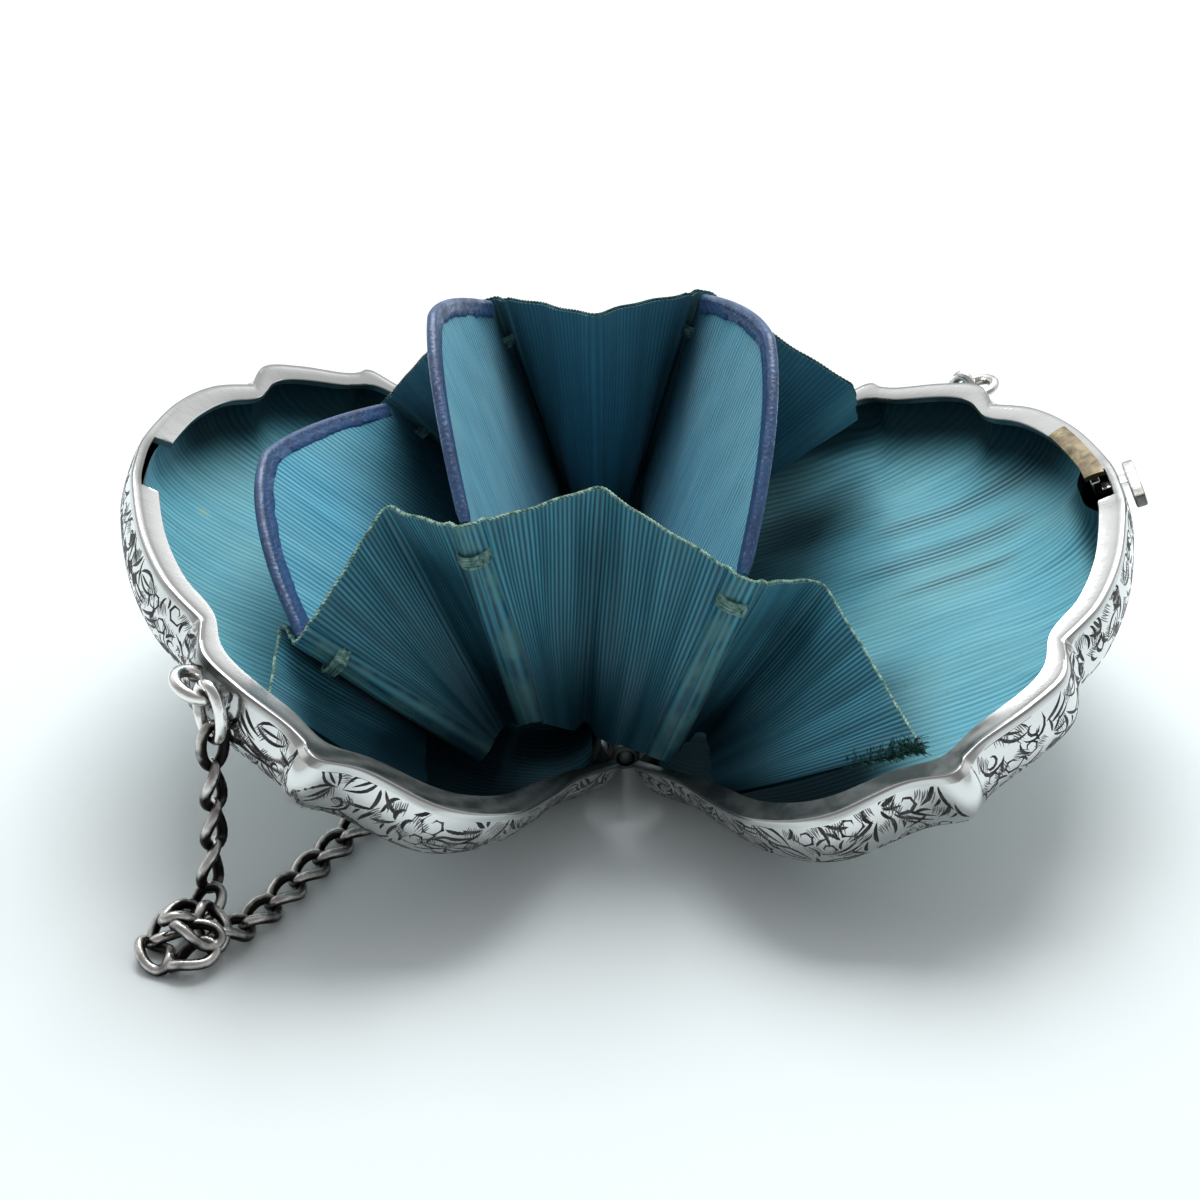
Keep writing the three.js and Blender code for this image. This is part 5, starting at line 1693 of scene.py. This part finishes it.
@dataclass
class Catch:
    """Push catch at the right tip: a thumb plate on a stem, and the brass strip along the flange."""

    side: Side = RIGHT
    # Blocks of the thumb piece: ranges of r, t and n
    blocks: tuple = (
        ((49.8, 50.9), (-3.2, 3.8), (0.3, 1.7)),
        ((46.9, 50.2), (1.3, 2.9), (1.1, 1.7)),
        ((46.6, 47.5), (1.3, 2.9), (0.1, 1.7)),
    )
    # How bright the thumb piece's metal is from its front end to its back, darker at the front end
    thumb_brightness: tuple = (0.08, 0.42)
    strip_wear: float = 0.6
    strip_from: float = 1.2
    strip_to: float = 12.6
    strip_edge: float = 1.1
    strip_width: float = 1.9
    strip_lift: float = 0.32
    strip_thick: float = 0.4

    def block(self, r: tuple, t: tuple, n: tuple) -> Patch:
        """A block with soft edges: a sphere's coordinates raised to a small power."""
        power = 0.22
        rise = np.linspace(-0.97, 0.97, 17)[:, None] * np.pi / 2
        turn = np.linspace(0, 2 * np.pi, 40, endpoint=False)[None]

        def squared(value: Array) -> Array:
            """The value pulled out towards one or minus one."""
            return np.sign(value) * np.abs(value) ** power

        flat = squared(np.cos(rise))
        shape = (flat * squared(np.cos(turn)), flat * squared(np.sin(turn)), squared(np.sin(rise)))
        places = [np.mean(span) + (span[1] - span[0]) / 2 * value for span, value in zip((r, t, n), shape)]
        points = self.side.place(*places)
        worn = lerp(*self.thumb_brightness, smoothstep(-2.4, -0.4, places[1]))
        return Patch(points, marks={"worn": worn})

    def strip(self) -> Patch:
        """A thin strip that follows the rim and lies on the flange, slightly domed across."""
        edge = RIM.outline()
        chosen = (edge[:, 0] > RIM.belly_r) & (edge[:, 1] >= self.strip_from) & (edge[:, 1] <= self.strip_to)
        edge = evenly(edge[chosen], 60)
        half = self.strip_width / 2
        across = np.linspace(-half, half, 7)
        rows = []
        for lift, order in ((0.0, across), (self.strip_thick, across[::-1])):
            for offset in order:
                flat = RIM.inset(edge, self.strip_edge + half + offset)
                dome = 0.1 * (1 - (offset / half) ** 2) * (lift > 0)
                rows.append(self.side.place(flat[:, 0], flat[:, 1], -self.strip_lift - lift - dome))
        points = np.stack(rows, axis=1)
        return Patch(points, marks={"worn": np.full(points.shape[:2], self.strip_wear)})

    def build(self) -> None:
        """Makes the thumb piece and the strip, which move together."""
        blocks = [self.block(*block) for block in self.blocks]
        Piece("thumb_piece", blocks, RING_SILVER, ("catch_button",), Body.CATCH).make()
        Piece("brass_strip", [self.strip()], STRIP_BRASS, ("catch_spring",), Body.CATCH).make()


# Setting


@dataclass
class Setting:
    """Camera, light and floor."""

    camera_place: tuple = (-6.69, -215.79, 140.55)
    camera_target: tuple = (-4.125, 2.607, 10.873)
    lens: float = 81.0
    # Strength of the sky near the horizon and high up
    back_sky: tuple = (0.5, 1.04)
    front_sky: tuple = (0.6, 0.26)
    # Heights between which each sky changes, and where along Y the front one turns into the back one
    back_sky_rise: tuple = (0.33, 0.45)
    front_sky_rise: tuple = (0.05, 0.55)
    sky_turn: tuple = (-0.35, 0.75)
    lamp_place: tuple = (0.03, 0.44, 0.6)
    lamp_size: float = 0.5
    lamp_power: float = 4.9
    floor_half: float = 2.0
    floor_colour: str = "#eef7f9"

    def build(self) -> None:
        """Makes the camera, the pale floor, the white sky and the large lamp behind."""
        self.camera()
        self.floor()
        world = bpy.data.worlds.new("white_room")
        world.use_nodes = True
        nodes = Nodes(world.node_tree)
        towards = nodes.add("ShaderNodeTexCoord").outputs["Generated"]
        axes = nodes.add("ShaderNodeSeparateXYZ", {0: towards}).outputs
        front = nodes.range(axes[2], *self.front_sky_rise, *self.front_sky)
        behind = nodes.range(axes[2], *self.back_sky_rise, *self.back_sky)
        share = nodes.range(axes[1], *self.sky_turn)
        strength = nodes.math("MULTIPLY_ADD", nodes.math("SUBTRACT", behind, front), share, front)
        background = world.node_tree.nodes["Background"]
        nodes.put(background.inputs["Strength"], strength)
        background.inputs["Color"].default_value = (1, 1, 1, 1)
        bpy.context.scene.world = world
        bpy.context.scene.view_settings.view_transform = "Standard"
        self.lamp("window_behind", self.lamp_place, self.lamp_size, self.lamp_power)

    def aimed(self, thing: bpy.types.Object, place: Sequence[float], target: Sequence[float]) -> None:
        """Puts a camera or lamp at a place, looking at a target with Z up."""
        back = unit(np.array(place) - np.array(target))
        right = unit(np.cross((0.0, 0.0, 1.0), back))
        rows = np.stack([right, np.cross(back, right), back, np.array(place)], axis=1)
        thing.matrix_world = Matrix([*rows.tolist(), (0.0, 0.0, 0.0, 1.0)])

    def camera(self) -> None:
        """Makes the camera at the photograph's angle."""
        camera = bpy.data.cameras.new("view")
        camera.lens = self.lens
        camera.sensor_width = 36.0
        camera.clip_start = 0.01
        thing = bpy.data.objects.new("view", camera)
        bpy.context.scene.collection.objects.link(thing)
        self.aimed(thing, np.array(self.camera_place) * MM, np.array(self.camera_target) * MM)
        bpy.context.scene.camera = thing

    def lamp(self, name: str, place: tuple, size: float, power: float) -> None:
        """Makes a square lamp that points at the purse."""
        light = bpy.data.lights.new(name, "AREA")
        light.size = size
        light.energy = power
        thing = bpy.data.objects.new(name, light)
        bpy.context.scene.collection.objects.link(thing)
        self.aimed(thing, place, (0.0, 0.0, 0.02))

    def floor(self) -> None:
        """Makes the pale floor that the purse lies on."""
        half = self.floor_half
        mesh = bpy.data.meshes.new("floor")
        corners = [(-half, -half, 0), (half, -half, 0), (half, half, 0), (-half, half, 0)]
        mesh.from_pydata(corners, [], [(0, 1, 2, 3)])
        material, _, shader = new_material("pale_floor")
        shader.inputs["Base Color"].default_value = colour(self.floor_colour)
        shader.inputs["Roughness"].default_value = 0.75
        mesh.materials.append(material)
        thing = bpy.data.objects.new("floor", mesh)
        bpy.context.scene.collection.objects.link(thing)


# Each fold's place at its bottom and at its top, from the left end of the ribbon to the right one
FRONT_FOLDS = (
    ((-17.0, -31.5, 5.0), (-30.0, -29.0, 12.4)), ((-17.9, -16.5, 4.0), (-30.4, -14.0, 12.9)),
    ((-10.6, -17.2, 3.8), (-20.8, -13.0, 23.0)), ((-3.7, -16.0, 1.2), (-2.2, -14.0, 25.2)),
    ((7.2, -16.8, 3.4), (17.5, -13.0, 15.0)), ((7.5, -26.0, 1.2), (24.6, -30.6, 9.0)),
)
BACK_FOLDS = (
    ((-16.0, 27.5, 5.0), (-29.0, 25.5, 11.3)), ((-15.5, 16.5, 4.2), (-27.4, 14.0, 12.4)),
    ((-8.2, 17.2, 5.4), (-18.1, 12.6, 25.6)), ((-2.2, 16.0, 4.2), (-2.4, 12.0, 29.6)),
    ((9.0, 16.8, 6.4), (22.2, 13.0, 21.4)), ((10.0, 25.0, 2.5), (24.6, 30.6, 9.0)),
)
# Places counted in panels and folds from the left end, and how dark the ribbon is there
FRONT_SHADES = (
    (0.0, 0.92), (0.5, 0.8), (0.85, 0.25), (1.0, 0.5), (2.0, 0.92), (3.0, 0.92), (3.6, 0.1), (6.0, 0.0),
    (6.8, 0.12), (7.5, 0.45), (8.0, 0.75), (8.9, 0.6), (9.5, 0.1), (12.0, 0.0), (12.7, 0.12), (13.0, 0.45),
    (14.0, 0.45), (14.3, 0.12), (17.0, 0.0), (18.0, 0.15), (19.0, 0.45), (20.0, 0.6), (20.35, 0.3),
    (20.75, 0.1), (21.0, 0.55),
)
BACK_SHADES = (
    (0.0, 0.5), (6.0, 0.4), (8.0, 0.3), (9.0, 0.7), (12.0, 0.85), (12.35, 0.2), (12.8, 0.05), (14.2, 0.05),
    (14.65, 0.2), (15.0, 0.85), (17.0, 0.6), (18.0, 0.4), (19.0, 0.5), (20.0, 0.55), (21.0, 0.4),
)
PRESSED_RIBS = ((15.2, 1.6, 22, 46), (8.2, 1.8, 20, 42), (2.9, 1.0, 24, 40), (19.0, 0.9, 14, 28))


def main() -> None:
    """Builds the purse's sub-assemblies in order."""
    logging.basicConfig(level=logging.INFO, format="%(message)s")
    Setting().build()
    left = Shell(LEFT, notch=(-5.0, 5.0), eyelet_facing=-1.0, knuckles=(0, 2), seed=11)
    right = Shell(RIGHT, notch=(-2.2, 3.4), eyelet_facing=1.0, knuckles=(1,), seed=23)
    for shell in (left, right):
        shell.build()
    HingePin().build()
    Lining(LEFT, tip_clearance=0.0).build()
    Lining(RIGHT, tip_clearance=2.3, pressed=PRESSED_RIBS).build()
    for leaf in LEAVES:
        leaf.build()
    PocketFloor().build()
    Gusset("front", facing=-1.0, folds=FRONT_FOLDS, fray=True, shades=FRONT_SHADES).build()
    Gusset("back", facing=1.0, folds=BACK_FOLDS, fray=False, tuck=0.28, fold_gap=0.0, shades=BACK_SHADES,
           finish=BACK_RIBBON, selvedge_thread=BACK_THREAD, tie_thread=BACK_THREAD).build()
    Chain(left, right).build()
    Catch().build()


if __name__ == "__main__":
    main()
